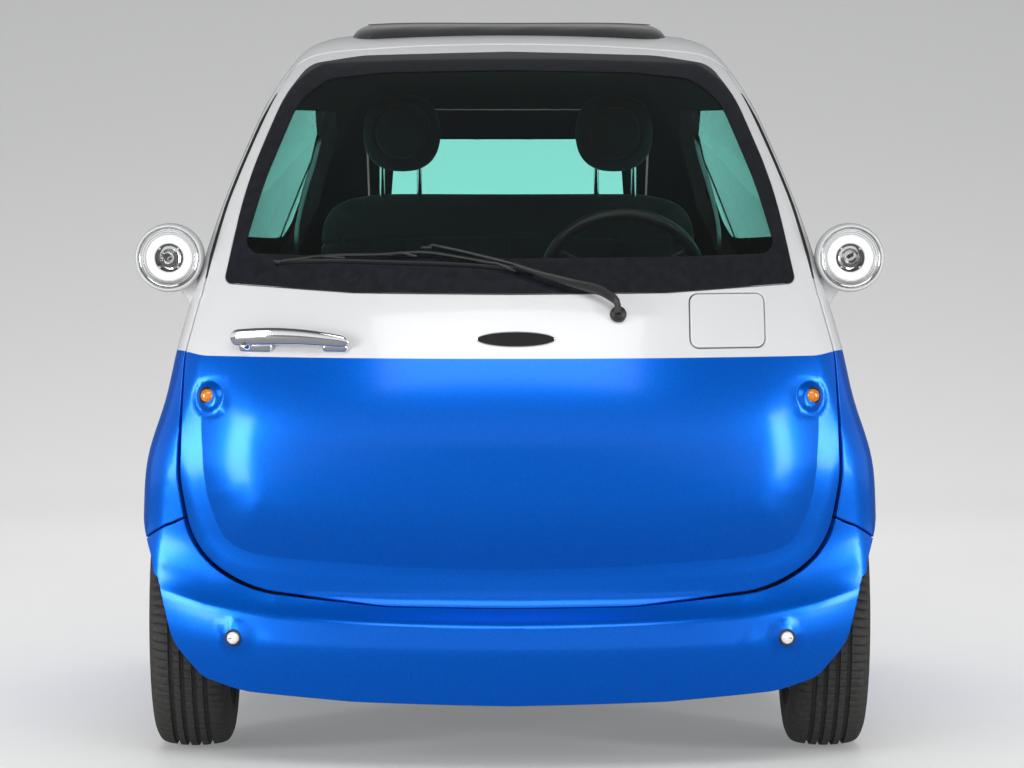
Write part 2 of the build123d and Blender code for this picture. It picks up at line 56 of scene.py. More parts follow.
# ---- sections of the body, as in the CAD
# z, nose y, front corner x and y, its radius, side x, rear corner x and y, its radius, tail y
MID_Y = -250.0
LEDGE = (290, -1212, 717, -1018, 66, 682, 576, 1044, 170, 1200)
NOSE_SECTIONS = [
    (130, -1192, 696, -1010, 60, 650, 540, 1000, 140, 1120),
    (190, -1210, 706, -1018, 62, 664, 556, 1020, 150, 1160),
    (240, -1217, 712, -1022, 64, 674, 566, 1034, 160, 1184),
    LEDGE,
]
BODY_SECTIONS = [
    LEDGE,
    (325, -1174, 719, -1010, 68, 688, 582, 1050, 174, 1207),
    (380, -1160, 721, -1000, 74, 693, 588, 1054, 180, 1214),
    (480, -1174, 717, -996, 84, 698, 596, 1056, 190, 1218),
    (600, -1186, 706, -1000, 96, 698, 598, 1050, 200, 1212),
    (700, -1182, 672, -998, 106, 690, 594, 1036, 206, 1196),
    (795, -1162, 650, -982, 114, 674, 584, 1010, 208, 1168),
    (916, -1106, 618, -938, 104, 636, 556, 958, 200, 1112),
    (1080, -982, 569, -840, 90, 583, 492, 846, 180, 990),
    (1214, -846, 520, -726, 88, 535, 432, 722, 160, 856),
    (1303, -736, 483, -632, 94, 494, 384, 618, 150, 742),
    (1354, -664, 454, -568, 100, 465, 352, 546, 140, 664),
    (1385, -606, 432, -518, 104, 443, 330, 486, 130, 600),
    (1414, -534, 401, -456, 104, 414, 300, 410, 120, 510),
    (1434, -446, 342, -380, 90, 368, 254, 310, 100, 386),
]
SPLIT_Z = 795.0


def unit(v, least=1e-9):
    """Rows of v at length one."""
    return v / (np.linalg.norm(v, axis=1)[:, None] + least)


def circle_of(*points):
    """Centre and radius of the circle through three points."""
    a, b, c = np.array(points, float)
    centre = np.linalg.solve(2 * np.array((b - a, c - a)), (b @ b - a @ a, c @ c - a @ a))
    return centre, math.hypot(*(a - centre))


def tangent_circle(c1, r1, c2, r2, r, near):
    """Centre of the circle of radius r inside both circles, next to a point."""
    a, b = r1 - r, r2 - r
    gap = c2 - c1
    d = float(np.hypot(*gap))
    along = (a * a - b * b + d * d) / (2 * d)
    across = math.sqrt(max(a * a - along * along, 0.0))
    unit = gap / d
    foot = c1 + unit * along
    side = np.array((-unit[1], unit[0])) * across
    return min((foot + side, foot - side), key=lambda p: np.hypot(*(p - np.array(near))))


def outline(section):
    """The half of a section at positive x as five arcs: centre, radius, first and last angle."""
    z, nose, fx, fy, fr, mx, rx, ry, rr, tail = section
    cf, rf = circle_of((-fx, fy), (0, nose), (fx, fy))
    cs, rs = circle_of((fx, fy), (mx, MID_Y), (rx, ry))
    cr, rb = circle_of((rx, ry), (0, tail), (-rx, ry))
    c1 = tangent_circle(cf, rf, cs, rs, fr, (fx, fy))
    c2 = tangent_circle(cr, rb, cs, rs, rr, (rx, ry))
    t1, t2, t3, t4 = (math.atan2(*(point - centre)[::-1]) for centre, point in ((cf, c1), (cs, c1), (cs, c2), (cr, c2)))
    return [(cf, rf, -math.pi / 2, t1), (c1, fr, t1, t2), (cs, rs, t2, t3), (c2, rr, t3, t4),
            (cr, rb, t4, math.pi / 2)]


class Loft:
    """A smooth surface through sections: s runs round a half section from 0 to 5, t up the sections."""

    def __init__(self, sections):
        self.arcs = [outline(section) for section in sections]
        self.z = np.array([section[0] for section in sections], float)
        s = np.linspace(0, 5, 41)
        rows = [self.ring(s, k) for k in range(len(sections))]
        steps = [np.sqrt((rows[k + 1] - rows[k]) ** 2 @ np.ones(2) + (self.z[k + 1] - self.z[k]) ** 2).mean()
                 for k in range(len(sections) - 1)]
        self.t = np.concatenate(([0.0], np.cumsum(steps)))
        n = len(self.t)
        a, b = np.zeros((n, n)), np.zeros((n, n))
        a[0, 0] = a[-1, -1] = 1.0
        for i in range(1, n - 1):
            h0, h1 = self.t[i] - self.t[i - 1], self.t[i + 1] - self.t[i]
            a[i, i - 1:i + 2] = h0, 2 * (h0 + h1), h1
            b[i, i - 1:i + 2] = 6 / h0, -6 / h0 - 6 / h1, 6 / h1
        self.second = np.linalg.solve(a, b)

    def ring(self, s, k):
        """Plan points at s on section k."""
        out = np.zeros((len(s), 2))
        piece = np.clip(s.astype(int), 0, 4)
        for i, (centre, radius, a0, a1) in enumerate(self.arcs[k]):
            m = piece == i
            a = a0 + (a1 - a0) * (s[m] - i)
            out[m] = centre + radius * np.column_stack((np.cos(a), np.sin(a)))
        return out

    def basis(self, t):
        """Cubic spline weights of each section at t."""
        n = len(self.t)
        i = np.clip(np.searchsorted(self.t, t, side="right") - 1, 0, n - 2)
        h = self.t[i + 1] - self.t[i]
        a = (self.t[i + 1] - t) / h
        b = 1 - a
        w = np.zeros((len(t), n))
        rows = np.arange(len(t))
        w[rows, i] += a
        w[rows, i + 1] += b
        for share, row in ((a, i), (b, i + 1)):
            w += ((share ** 3 - share) * h * h / 6)[:, None] * self.second[row]
        return w

    def at(self, s, t):
        side = np.where(s < 0, -1.0, 1.0)
        s = np.abs(s)
        over = s > 5
        side = np.where(over, -side, side)
        s = np.where(over, 10 - s, s)
        w = self.basis(t)
        plan = np.zeros((len(s), 2))
        for k in range(len(self.t)):
            used = np.abs(w[:, k]) > 1e-9
            if used.any():
                plan[used] += w[used, k:k + 1] * self.ring(s[used], k)
        return np.column_stack((plan[:, 0] * side, plan[:, 1], w @ self.z))


nose_loft, body_loft = Loft(NOSE_SECTIONS), Loft(BODY_SECTIONS)
NOSE_T = nose_loft.t[-1]
TOP_T = NOSE_T + body_loft.t[-1]
SPAN = np.array([0, 690, 860, 2700, 2960, HALF_WAY])  # rough lengths round the half section, for spacing


def s_of(u):
    """The place round a section, 1 for each of its arcs, from u."""
    return np.sign(u) * np.interp(np.abs(u), np.concatenate((SPAN, 2 * HALF_WAY - SPAN[-2::-1])), np.arange(11.0))


def u_of(s):
    """u from the place round a section."""
    return np.interp(s, np.arange(6.0), SPAN)


def smooth(x, a, b):
    """Rises from 0 at a to 1 at b."""
    k = np.clip((x - a) / (b - a), 0, 1)
    return k * k * (3 - 2 * k)


def ledge_lift(p):
    """How far the bumper's upper crease rises towards the corners."""
    x = np.abs(p[:, 0])
    rise = np.interp(x, (0, 200, 300, 448, 582, 650, 700), (0, 2, 4, 9, 27, 42, 52))
    return rise * np.interp(p[:, 2], (150, 290, 330, 470), (0, 1, 1, 0)) * (p[:, 1] < -600)


def plain(u, t):
    """The body's surface without its pressed shapes."""
    s = s_of(u)
    low = t < NOSE_T
    p = np.zeros((len(u), 3))
    for part, loft, start in ((low, nose_loft, 0.0), (~low, body_loft, NOSE_T)):
        if part.any():
            p[part] = loft.at(s[part], t[part] - start)
    p[:, 2] += ledge_lift(p)
    return p


# The crease round the door's raised middle: x and z of its left half, from the centre outwards
CREASE = np.array([(0, 392), (200, 396), (365, 405), (455, 411), (500, 419), (532, 431), (552, 448), (568, 480),
                   (585, 530), (592, 580), (595, 640), (598, 720), (599, 800)], float)
DOOR_RISE, DOOR_BLEND = 21.0, 115.0  # how far the middle stands off, and the width over which it gets there
FLANGE_ROLL = 9.0  # how far the flange below the crease turns in
SOFT_FROM, SOFT_TO = 14, 34  # the bumper's crease is rounded off this far from it, fading out between the two
INDICATOR = (582.0, 718.0)
BUMPER_LAMP = (529.0, 258.0)
pressed = {"door": False}  # the door's own pressing is left out while its neighbours are made


def crease_distance(x, z):
    """Distance to the crease, positive on the raised side."""
    x = np.abs(x)
    best = np.full(len(x), 1e9)
    sign = np.ones(len(x))
    for (x0, z0), (x1, z1) in zip(CREASE[:-1], CREASE[1:]):
        ex, ez = x1 - x0, z1 - z0
        k = np.clip(((x - x0) * ex + (z - z0) * ez) / (ex * ex + ez * ez), 0, 1)
        dx, dz = x - x0 - k * ex, z - z0 - k * ez
        d = np.hypot(dx, dz)
        closer = d < best - 1e-9
        best = np.where(closer, d, best)
        sign = np.where(closer, np.sign(ex * dz - ez * dx), sign)
    return best * np.where(sign == 0, 1, sign)


def relief(p):
    """How far the pressed shapes stand off the plain surface, along its normal."""
    front = (p[:, 1] < -860) & (p[:, 2] < 830)
    out = np.zeros(len(p))
    if front.any():
        x, z = np.abs(p[front, 0]), p[front, 2]
        if pressed["door"]:
            d = crease_distance(p[front, 0], z)
            fade = (1 - 0.4 * smooth(z, 440, 620)) * (1 - smooth(z, 640, 810))
            out[front] = DOOR_RISE * fade * np.where(d > 0, 1 - np.clip(1 - d / DOOR_BLEND, 0, 1) ** 1.7, 0.0)
            out[front] -= FLANGE_ROLL * (np.clip(-d - 24, 0, 40) / 40.0) ** 2 * (1 - smooth(z, 480, 640))
        r = np.hypot(x - INDICATOR[0] + 3, (z - INDICATOR[1]) * np.where(z > INDICATOR[1], 1.0, 0.8))
        out[front] += 4.5 * np.exp(-(np.maximum(r - 15, 0) / 8.0) ** 2)
        out[front] -= 1.8 * np.exp(-((r - 27) / 7.0) ** 2)
        r = np.hypot(x - BUMPER_LAMP[0], (z - BUMPER_LAMP[1]) * np.where(z > BUMPER_LAMP[1], 0.75, 1.0))
        out[front] += 6.0 * np.exp(-(np.maximum(r - 14, 0) / 9.0) ** 2)
        fold = np.abs(z - 242 - 18 * (x / 500) ** 2)
        out[front] += 1.5 * np.exp(-fold / 15.0) * (1 - smooth(x, 440, 520)) * (z < 285)
    return out


def normals_of(f, u, t, e=0.6, top=math.inf):
    """Unit normals of the surface f."""
    return unit(np.cross(f(u + e, t) - f(u - e, t), f(u, np.minimum(t + e, top)) - f(u, t - e)), 1e-12)


def skin(u, t):
    """The finished surface: the bumper's crease is rounded off and the pressed shapes are added."""
    near = np.abs(t - NOSE_T) < SOFT_TO
    p = plain(u, t)
    if near.any():
        un, tn = u[near], t[near]
        part = (1 - smooth(np.abs(tn - NOSE_T), SOFT_FROM, SOFT_TO))[:, None]
        soft_crease = sum(plain(un, tn + k) * w for k, w in ((-7, .1), (-4, .2), (0, .4), (4, .2), (7, .1)))
        p[near] += (soft_crease - p[near]) * part
    rise = relief(p)
    lifted = np.abs(rise) > 1e-4
    if lifted.any():
        p[lifted] += normals_of(plain, u[lifted], t[lifted], 3.0, TOP_T) * rise[lifted, None]
    return p


CAP = 160.0  # the roof's flat top, as t beyond TOP_T
ROOF_MID = np.array([0.0, -30.0])


def cover(u, t):
    """The skin, with the nearly flat top of the roof as its last stretch."""
    low = np.minimum(t, TOP_T)
    p = skin(u, low)
    k = np.clip((t - TOP_T) / CAP, 0, 1)
    p[:, :2] = ROOF_MID + (p[:, :2] - ROOF_MID) * (1 - 0.38 * k)[:, None]
    p[:, 2] += 9 * (1 - (1 - k) ** 2)
    return p


def cover_normals(u, t):
    return normals_of(cover, u, t)


def points_of(line):
    """The skin's points along a line of u and t."""
    return cover(*line.T)


# ---- finding u and t from a front, side or back view
PER_ARC = 100  # columns of the table on each of a section's five arcs
S_TABLE, T_TABLE = np.linspace(0, 5, 5 * PER_ARC + 1), np.linspace(0, TOP_T, 900)
COLUMNS = np.arange(len(S_TABLE))
GRID = np.array([plain(u_of(S_TABLE), np.full(len(S_TABLE), t)) for t in T_TABLE])  # t, s, xyz
SPANS = {"front": (0, 231), "side": (110, 420), "back": (270, 501)}  # the columns seen in each view


def locate(points, view):
    """u and t of points given as (x, z) seen from the front or back, or (y, z) seen from the left side."""
    out = []
    a, b = SPANS[view]
    axis = 1 if view == "side" else 0
    for h, z in points:
        key, at = (h if view == "side" else abs(h)), 0.5 * (a + b)
        for _ in range(7):
            t = np.interp(z, GRID[:, int(round(at)), 2], T_TABLE)
            r = np.interp(t, T_TABLE, np.arange(len(T_TABLE)))
            r0 = int(min(r, len(T_TABLE) - 2))
            row = GRID[r0, a:b, axis] * (1 - r + r0) + GRID[r0 + 1, a:b, axis] * (r - r0)
            places = COLUMNS[a:b]
            at = float(np.interp(key, row[::-1], places[::-1]) if view == "back" else np.interp(key, row, places))
        u = float(u_of(np.interp(at, COLUMNS, S_TABLE)))
        if view != "side" and h < 0:
            u = 2 * HALF_WAY - u if view == "back" else -u
        out.append((u, float(t)))
    return np.array(out)


def refine(line, step):
    """The same line with no gap wider than step."""
    out = [line[0]]
    for a, b in zip(line[:-1], line[1:]):
        count = max(1, int(math.ceil(np.linalg.norm(b - a) / step)))
        out += [a + (b - a) * k / count for k in range(1, count + 1)]
    return np.array(out)


def rounded(corners, closed=True, step=8.0):
    """A dense outline through corners given as (h, v, radius)."""
    n = len(corners)
    line = []
    for i, (x, y, r) in enumerate(corners):
        p = np.array((x, y), float)
        if r <= 0 or (not closed and i in (0, n - 1)):
            line.append(p)
            continue
        a = np.array(corners[i - 1][:2], float) - p
        b = np.array(corners[(i + 1) % n][:2], float) - p
        la, lb = np.hypot(*a), np.hypot(*b)
        a, b = a / la, b / lb
        half = math.acos(np.clip(a @ b, -1, 1)) / 2
        reach = min(r / math.tan(half), 0.49 * la, 0.49 * lb)
        r = reach * math.tan(half)
        centre = p + (a + b) / np.hypot(*(a + b)) * r / math.sin(half)
        v0, v1 = p + a * reach - centre, p + b * reach - centre
        a0, sweep = math.atan2(v0[1], v0[0]), math.atan2(v0[0] * v1[1] - v0[1] * v1[0], v0 @ v1)
        count = max(3, int(abs(sweep) * r / min(step, max(r * 0.3, 0.8))))
        line += [centre + r * np.array((math.cos(a0 + sweep * k / count), math.sin(a0 + sweep * k / count)))
                 for k in range(count + 1)]
    if closed:
        line.append(line[0])
    return refine(np.array(line), step)[:-1 if closed else None]


def inside(points, loop):
    """Which points are inside a closed outline."""
    x, y = points[:, 0], points[:, 1]
    result = np.zeros(len(points), bool)
    px, py = loop[:, 0], loop[:, 1]
    qx, qy = np.roll(px, -1), np.roll(py, -1)
    for x0, y0, x1, y1 in zip(px, py, qx, qy):
        if y0 != y1:
            hit = (y0 > y) != (y1 > y)
            result ^= hit & (x < (x1 - x0) * (y - y0) / (y1 - y0) + x0)
    return result


def far_from(points, lines, gap):
    """Which points are further than gap from every line's points."""
    ok = np.ones(len(points), bool)
    for line in lines:
        for i in range(0, len(line), 200):
            part = line[i:i + 200]
            near = ok & ((points > part.min(0) - gap) & (points < part.max(0) + gap)).all(1)
            if near.any():
                ok[near] &= np.hypot(*(points[near, None] - part).T).min(axis=0) > gap
    return ok


def area_of(loop):
    """The area, positive if the outline runs anticlockwise."""
    x, y = loop.T
    return 0.5 * float(np.sum(x * np.roll(y, -1) - np.roll(x, -1) * y))


class Mesh:
    """Vertices with their own normals, and faces with a material number."""

    def __init__(self):
        self.co, self.no, self.faces, self.mats = np.empty((0, 3)), np.empty((0, 3)), [], []

    def add(self, co, no):
        first = len(self.co)
        self.co, self.no = np.concatenate((self.co, co)), np.concatenate((self.no, no))
        return np.arange(first, len(self.co))

    def face(self, faces, mat):
        self.faces += [tuple(int(i) for i in f) for f in faces]
        self.mats += [mat] * len(faces)

    def strip(self, a, b, mat, skip):
        """Quads between two closed rows of the same length."""
        n = len(a)
        self.face([(a[i], b[i], b[(i + 1) % n], a[(i + 1) % n]) for i in range(n) if not skip[i]], mat)


def new_mesh(name, points, faces, finishes=(), kinds=None):
    """A smooth mesh; kinds are the faces' places among the finishes."""
    data = bpy.data.meshes.new(name)
    data.from_pydata(points.tolist(), [], faces)
    for finish in finishes:
        data.materials.append(finish)
    if kinds is not None:
        data.polygons.foreach_set("material_index", kinds)
    data.polygons.foreach_set("use_smooth", [True] * len(faces))
    return data


def new_object(name, data):
    obj = bpy.data.objects.new(name, data)
    bpy.context.scene.collection.objects.link(obj)
    return obj


def dress(obj, body, node=None):
    """The object rides a body and, if a node is given, stands for that CAD solid."""
    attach(obj, body)
    if node:
        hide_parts(node)
    return obj


def make(name, mesh, body, node=None, keep=None, mirrored=False):
    """An object from a Mesh, or from its faces with the material numbers in keep."""
    chosen = [i for i, m in enumerate(mesh.mats) if keep is None or m in keep]
    faces, mats = [mesh.faces[i] for i in chosen], [mesh.mats[i] for i in chosen]
    used, renumbered = np.unique(np.concatenate(faces), return_inverse=True)
    ends = np.cumsum([len(f) for f in faces])
    faces = [tuple(f.tolist()) for f in np.split(renumbered.ravel(), ends[:-1])]
    co, no = mesh.co[used] * MM, mesh.no[used]
    if mirrored:
        co, no = co * MIRROR_X, no * MIRROR_X
        faces = [f[::-1] for f in faces]
    order = sorted(set(mats))
    data = new_mesh(name, co, faces, [PALETTE[m] for m in order], [order.index(m) for m in mats])
    data.normals_split_custom_set_from_vertices([Vector(n) for n in no])
    data.update()
    return dress(new_object(name, data), body, node)


def slopes(u, t, e=1.0):
    """How the skin's points move with u and with t."""
    return (cover(u + e, t) - cover(u - e, t)) / (2 * e), (cover(u, t + e) - cover(u, t - e)) / (2 * e)


def steps_for(pu, pt, vector, least=0.0):
    """The steps in u and t that come nearest to a vector."""
    a, b, c = (pu * pu).sum(1), (pu * pt).sum(1), (pt * pt).sum(1)
    d, f = (pu * vector).sum(1), (pt * vector).sum(1)
    det = a * c - b * b + least
    return (d * c - f * b) / det, (f * a - d * b) / det


def moved(u, t, vector):
    """u and t after moving along the surface by a vector."""
    du, dt = steps_for(*slopes(u, t), vector)
    return u + du, t + dt


ROW_GAP, GRID_GAP = 3.5, 0.38  # kept free round edges in mm, and round edges and rows in shares of the spacing
INWARD = 6  # how far inside an edge its colour is looked up


def panel(loops, colour, rows=(), spacing=20.0, roll=2.5, deep=42.0, lining=LINING, raised=0.0,
          edge_kinds=(None, None)):
    """A sheet of the body skin with rolled edges, walls and a lining.

    loops are (points in u and t, hard) with the outer one first; hard marks points whose edge to the next one
    continues into a neighbour, and gets no roll. colour gives material numbers from faces' middles. rows are lines
    that the mesh follows. edge_kinds are material numbers for the outer edge and for the holes' edges.
    """
    mesh = Mesh()
    pts, edges, borders = [], [], []
    for i, (loop, hard) in enumerate(loops):
        if (area_of(loop) > 0) != (i == 0):
            loop, hard = loop[::-1], np.roll(hard[::-1], -1)
        u, t = loop.T
        p, n = cover(u, t), cover_normals(u, t)
        ahead, back = unit(np.roll(p, -1, 0) - p), unit(p - np.roll(p, 1, 0))
        before = np.roll(hard, 1)
        ahead = np.where((hard & ~before)[:, None], back, ahead)
        back = np.where((~hard & before)[:, None], ahead, back)
        m = unit(np.cross(ahead + back, n))
        free = ~(hard & before)
        first, count = sum(len(x) for x in pts), len(u)
        pts.append(np.where(free[:, None], np.column_stack(moved(u, t, -m * roll)), loop))
        edges += [(first + k, first + (k + 1) % count) for k in range(count)]
        borders.append((np.arange(first, first + count), m, hard, free, edge_kinds[i > 0]))

    def within(points):
        """Which points are inside the outer edge and outside the holes."""
        ok = inside(points, pts[0])
        for hole in pts[1:]:
            ok &= ~inside(points, hole)
        return ok

    low, high = pts[0].min(0), pts[0].max(0)
    gu, gt = np.meshgrid(np.arange(low[0], high[0], spacing), np.arange(low[1], high[1], spacing))
    gu = gu + (np.arange(gu.shape[0]) % 2)[:, None] * spacing * 0.5
    grid = np.column_stack((gu.ravel(), gt.ravel()))
    grid = grid[within(grid)]
    extra = [(row, within(row) & far_from(row, pts, ROW_GAP)) for row in rows]
    grid = grid[far_from(grid, pts + [r[ok] for r, ok in extra if ok.any()], spacing * GRID_GAP)]
    everything = pts + [grid]
    start = sum(len(x) for x in everything)
    for row, ok in extra:
        index = np.cumsum(ok) - 1 + start
        edges += [(int(index[k]), int(index[k + 1])) for k in range(len(row) - 1) if ok[k] and ok[k + 1]]
        everything.append(row[ok])
        start += int(ok.sum())
    flat, _, tri, _, _, _ = delaunay_2d_cdt([Vector(q) for q in np.concatenate(everything)], edges, [], 0, 1e-5)
    flat = np.array([tuple(c) for c in flat])
    tri = np.array([f for f in tri if len(f) == 3])
    middle = flat[tri].mean(axis=1)
    good = within(middle)
    tri, middle = tri[good], middle[good]
    flip = np.cross(flat[tri[:, 1]] - flat[tri[:, 0]], flat[tri[:, 2]] - flat[tri[:, 0]]) < 0
    tri[flip] = tri[flip][:, ::-1]
    p, n = points_of(flat), cover_normals(*flat.T)
    top, under = mesh.add(p + n * raised, n), mesh.add(p + n * (raised - deep), -n)
    kinds = colour(points_of(middle), middle)
    for kind in np.unique(kinds):
        mesh.face(tri[kinds == kind], int(kind))
        mesh.face(under[tri[kinds == kind][:, ::-1]], int(kind) if lining is None else lining)
    for ids, m, hard, free, edge_kind in borders:
        nn, pp = n[ids], p[ids] + n[ids] * raised
        kind = colour(pp - m * INWARD, flat[ids]) if edge_kind is None else np.full(len(ids), edge_kind)
        reach = np.where(free, roll, 0.0)[:, None]
        rings = [top[ids]]
        for angle in (30, 60, 90):
            sn, cs = math.sin(math.radians(angle)), math.cos(math.radians(angle))
            rings.append(mesh.add(pp + m * reach * sn - nn * roll * (1 - cs), nn * cs + m * sn))
        foot = pp + m * reach - nn * deep
        rings.append(mesh.add(foot, m))
        lip = mesh.add(foot, -nn)
        for k in np.unique(kind):
            for a, b in zip(rings[:-1], rings[1:]):
                mesh.strip(a, b, int(k), hard | (kind != k))
            mesh.strip(lip, under[ids], int(k) if lining is None else lining, hard | (kind != k))
    return mesh


# ---- outlines of the panels
GAP, GLASS = 6.0, 5.0  # the door's gap and the panes' thickness
FRONT_ARCH, REAR_ARCH = (-740.0, 266.0, 300.0), (780.0, 266.0, 292.0)  # y, z, radius
SLOPE_FOOT = np.array([0.0, -952.0, 908.0])  # the windscreen's slope: its foot, and directions up it and out of it
SLOPE_UP, SLOPE_OUT = np.array([(0.0, 329.0, 395.0), (0.0, -395.0, 329.0)]) / math.hypot(329, 395)


def pierce(points, direction):
    """u and t where lines through the points along a direction meet the skin."""
    u, t = locate(points[:, [0, 2]], "front").T

    def across(v):
        return v - (v @ direction)[:, None] * direction

    for _ in range(14):
        pu, pt = slopes(u, t)
        du, dt = steps_for(across(pu), across(pt), across(points - cover(u, t)), 1e-9)
        u = u + np.clip(du, -60, 60)
        t = np.clip(t + np.clip(dt, -60, 60), 1, TOP_T + CAP - 5)
    return np.column_stack((u, t))


def grown(loop, amount):
    """A closed outline moved outwards along the skin, or inwards if amount is negative."""
    if area_of(loop) < 0:
        loop = loop[::-1]
    p, n = points_of(loop), cover_normals(*loop.T)
    m = unit(np.cross(np.roll(p, -1, 0) - np.roll(p, 1, 0), n), 0.0)
    return np.column_stack(moved(*loop.T, m * amount))


def both_halves(half, middle=0.0):
    """A closed outline from its left half, whose ends are on the middle line."""
    half[[0, -1], 0] = middle
    return np.concatenate((half, (half * TO_RIGHT + (2 * middle, 0))[::-1][1:-1]))


def drawn(corners, view, **options):
    """u and t of an open outline through corners given as (h, v, radius)."""
    return locate(rounded(corners, closed=False, **options), view)


def drawn_loop(corners, view, **options):
    """u and t of a closed outline through corners."""
    return locate(rounded(corners, **options), view)


def closed_even(loop, step=9.0):
    """A closed outline with no gap wider than step."""
    return refine(np.concatenate((loop, loop[:1])), step)[:-1]


def soft(loop):
    """A loop for panel() whose edge is free all round."""
    return loop, np.zeros(len(loop), bool)


def joined(*parts):
    """A closed outline from stretches of (points, hard)."""
    points, hard = [], []
    for line, flag in parts:
        line = refine(np.asarray(line, float), 9.0)
        points.append(line[:-1])
        hard += [flag] * (len(line) - 1)
    return np.concatenate(points), np.array(hard)


# the door: up from the bottom's middle along its left edge, then over the pillar to the roof's middle
low = drawn([(0, 325, 0), (240, 327, 400), (510, 352, 260), (618, 425, 170), (640, 560, 200), (632, 795, 160),
             (605, 900, 60), (603, 908, 0)], "front")
high = rounded([(603, 0, 0), (558, 222, 900), (478, 514, 900), (430, 650, 62), (0, 650, 0)], closed=False)
high = pierce(SLOPE_FOOT + high[:, :1] * (1, 0, 0) + high[:, 1:] * SLOPE_UP, SLOPE_OUT)
door_loop = both_halves(np.concatenate((low[:-1], high[1:])))
hole_loop = grown(door_loop, GAP)
opening = hole_loop[hole_loop[:, 0] >= -1e-6]  # the opening's left half, from its lowest point up
opening = np.roll(opening, -int(np.argmin(opening[:, 1] + np.abs(opening[:, 0]) * 10)), 0)
if points_of(opening[1:2])[0, 2] > points_of(opening[-1:])[0, 2]:
    opening = np.concatenate((opening[:1], opening[1:][::-1]))
opening[[0, -1], 0] = 0.0


def at_height(line, z):
    """Index of the first point of a rising line above z, and the point on the line at z."""
    zs = points_of(line)[:, 2]
    k = int(np.argmax(zs > z))
    f = (z - zs[k - 1]) / (zs[k] - zs[k - 1])
    return k, line[k - 1] + (line[k] - line[k - 1]) * f


def arch_point(arch, z, front):
    y, zc, r = arch
    return y + (-1 if front else 1) * math.sqrt(r * r - (z - zc) ** 2), z


def arch_line(arch, start, end, count=60):
    """Points round an arch between two of its points, over the top."""
    y, zc, r = arch
    a0, a1 = ((math.atan2(v - zc, h - y) + math.pi / 2) % (2 * math.pi) - math.pi / 2 for h, v in (start, end))
    return np.array([(y + r * math.cos(a), zc + r * math.sin(a)) for a in np.linspace(a0, a1, count)])


above_seam, seam_top = at_height(opening, 483.0)
door_seam = np.concatenate(([seam_top], opening[above_seam:]))
hatch_loop = both_halves(drawn([(0, 1330, 0), (340, 1330, 18), (340, 470, 18), (0, 470, 0)], "back"), HALF_WAY)
hatch_hole = drawn([(0, 1336, 0), (346, 1336, 24), (346, 467, 0)], "back")
hatch_hole[0, 0] = HALF_WAY
seam_out = arch_point(FRONT_ARCH, 440.0, True)
tail_out = arch_point(REAR_ARCH, 467.0, False)
sill_back, sill_front = arch_point(REAR_ARCH, 195.0, True), arch_point(FRONT_ARCH, 195.0, False)
rear_over = locate(arch_line(REAR_ARCH, tail_out, sill_back), "side")
front_over = locate(arch_line(FRONT_ARCH, sill_front, seam_out), "side")
top_row = np.column_stack((np.linspace(0, HALF_WAY, 300), np.full(300, TOP_T + CAP)))
side_outline = joined(
    (door_seam, False), ([door_seam[-1], (0, TOP_T + CAP)], True), (top_row, True),
    ([(HALF_WAY, TOP_T + CAP), hatch_hole[0]], True), (hatch_hole, False), ([hatch_hole[-1], rear_over[0]], False),
    (rear_over, False), ([rear_over[-1], front_over[0]], False), (front_over, False),
    ([front_over[-1], seam_top], False))
SIDE_WINDOW = [(-862, 958), (-796, 1075), (-690, 1204), (-580, 1300), (380, 1314), (560, 1262), (700, 1184),
               (800, 1100), (874, 958)]
window_loop = drawn_loop([(y, z, 40) for y, z in SIDE_WINDOW], "side")


def split_height(p):
    """Height of the colour split, which rises a little round the front corners."""
    return SPLIT_Z + 8 * smooth(np.abs(p[:, 0]), 585, 645) * smooth(-p[:, 1], 300, 800)


def split_row(u0, u1, step=9.0):
    """The colour split's line."""
    us = np.linspace(u0, u1, int(abs(u1 - u0) / step))
    turns = np.abs(s_of(us))
    columns = np.where(turns <= 5, np.round(turns * PER_ARC), 0).astype(int)
    row = np.column_stack((us, [np.interp(SPLIT_Z, GRID[:, k, 2], T_TABLE) for k in columns]))
    for _ in range(4):
        p = plain(*row.T)
        rate = plain(row[:, 0], row[:, 1] + 1)[:, 2] - p[:, 2]
        row[:, 1] += (split_height(p) - p[:, 2]) / rate
    return row


def two_tone(p, ut):
    return np.where(p[:, 2] > split_height(p), UPPER, LOWER)


def plain_colour(k):
    return lambda p, ut: np.full(len(p), k)


# ---- materials


def add_node(tree, kind, **values):
    """A shader node with inputs set by name; an underscore in a name stands for a space."""
    node = tree.nodes.new(f"ShaderNode{kind}")
    set_inputs(node, values)
    return node


def set_inputs(node, values):
    for key, value in values.items():
        node.inputs[key.replace("_", " ")].default_value = value


def wire(tree, *links):
    """Links, each as node, output, node, input."""
    for start, output, end, socket in links:
        tree.links.new(start.outputs[output], end.inputs[socket])


def maths(tree, operation, second=0.5, clamp=False):
    """A node that works on two numbers."""
    node = tree.nodes.new("ShaderNodeMath")
    node.operation, node.use_clamp = operation, clamp
    node.inputs[1].default_value = second
    return node


def add_ramp(tree, stops):
    """A colour ramp through (place, colour)."""
    node = tree.nodes.new("ShaderNodeValToRGB")
    elements = node.color_ramp.elements
    while len(elements) < len(stops):
        elements.new(0.5)
    for element, (spot, colour) in zip(elements, stops):
        element.position, element.color = spot, (*colour, 1)
    return node


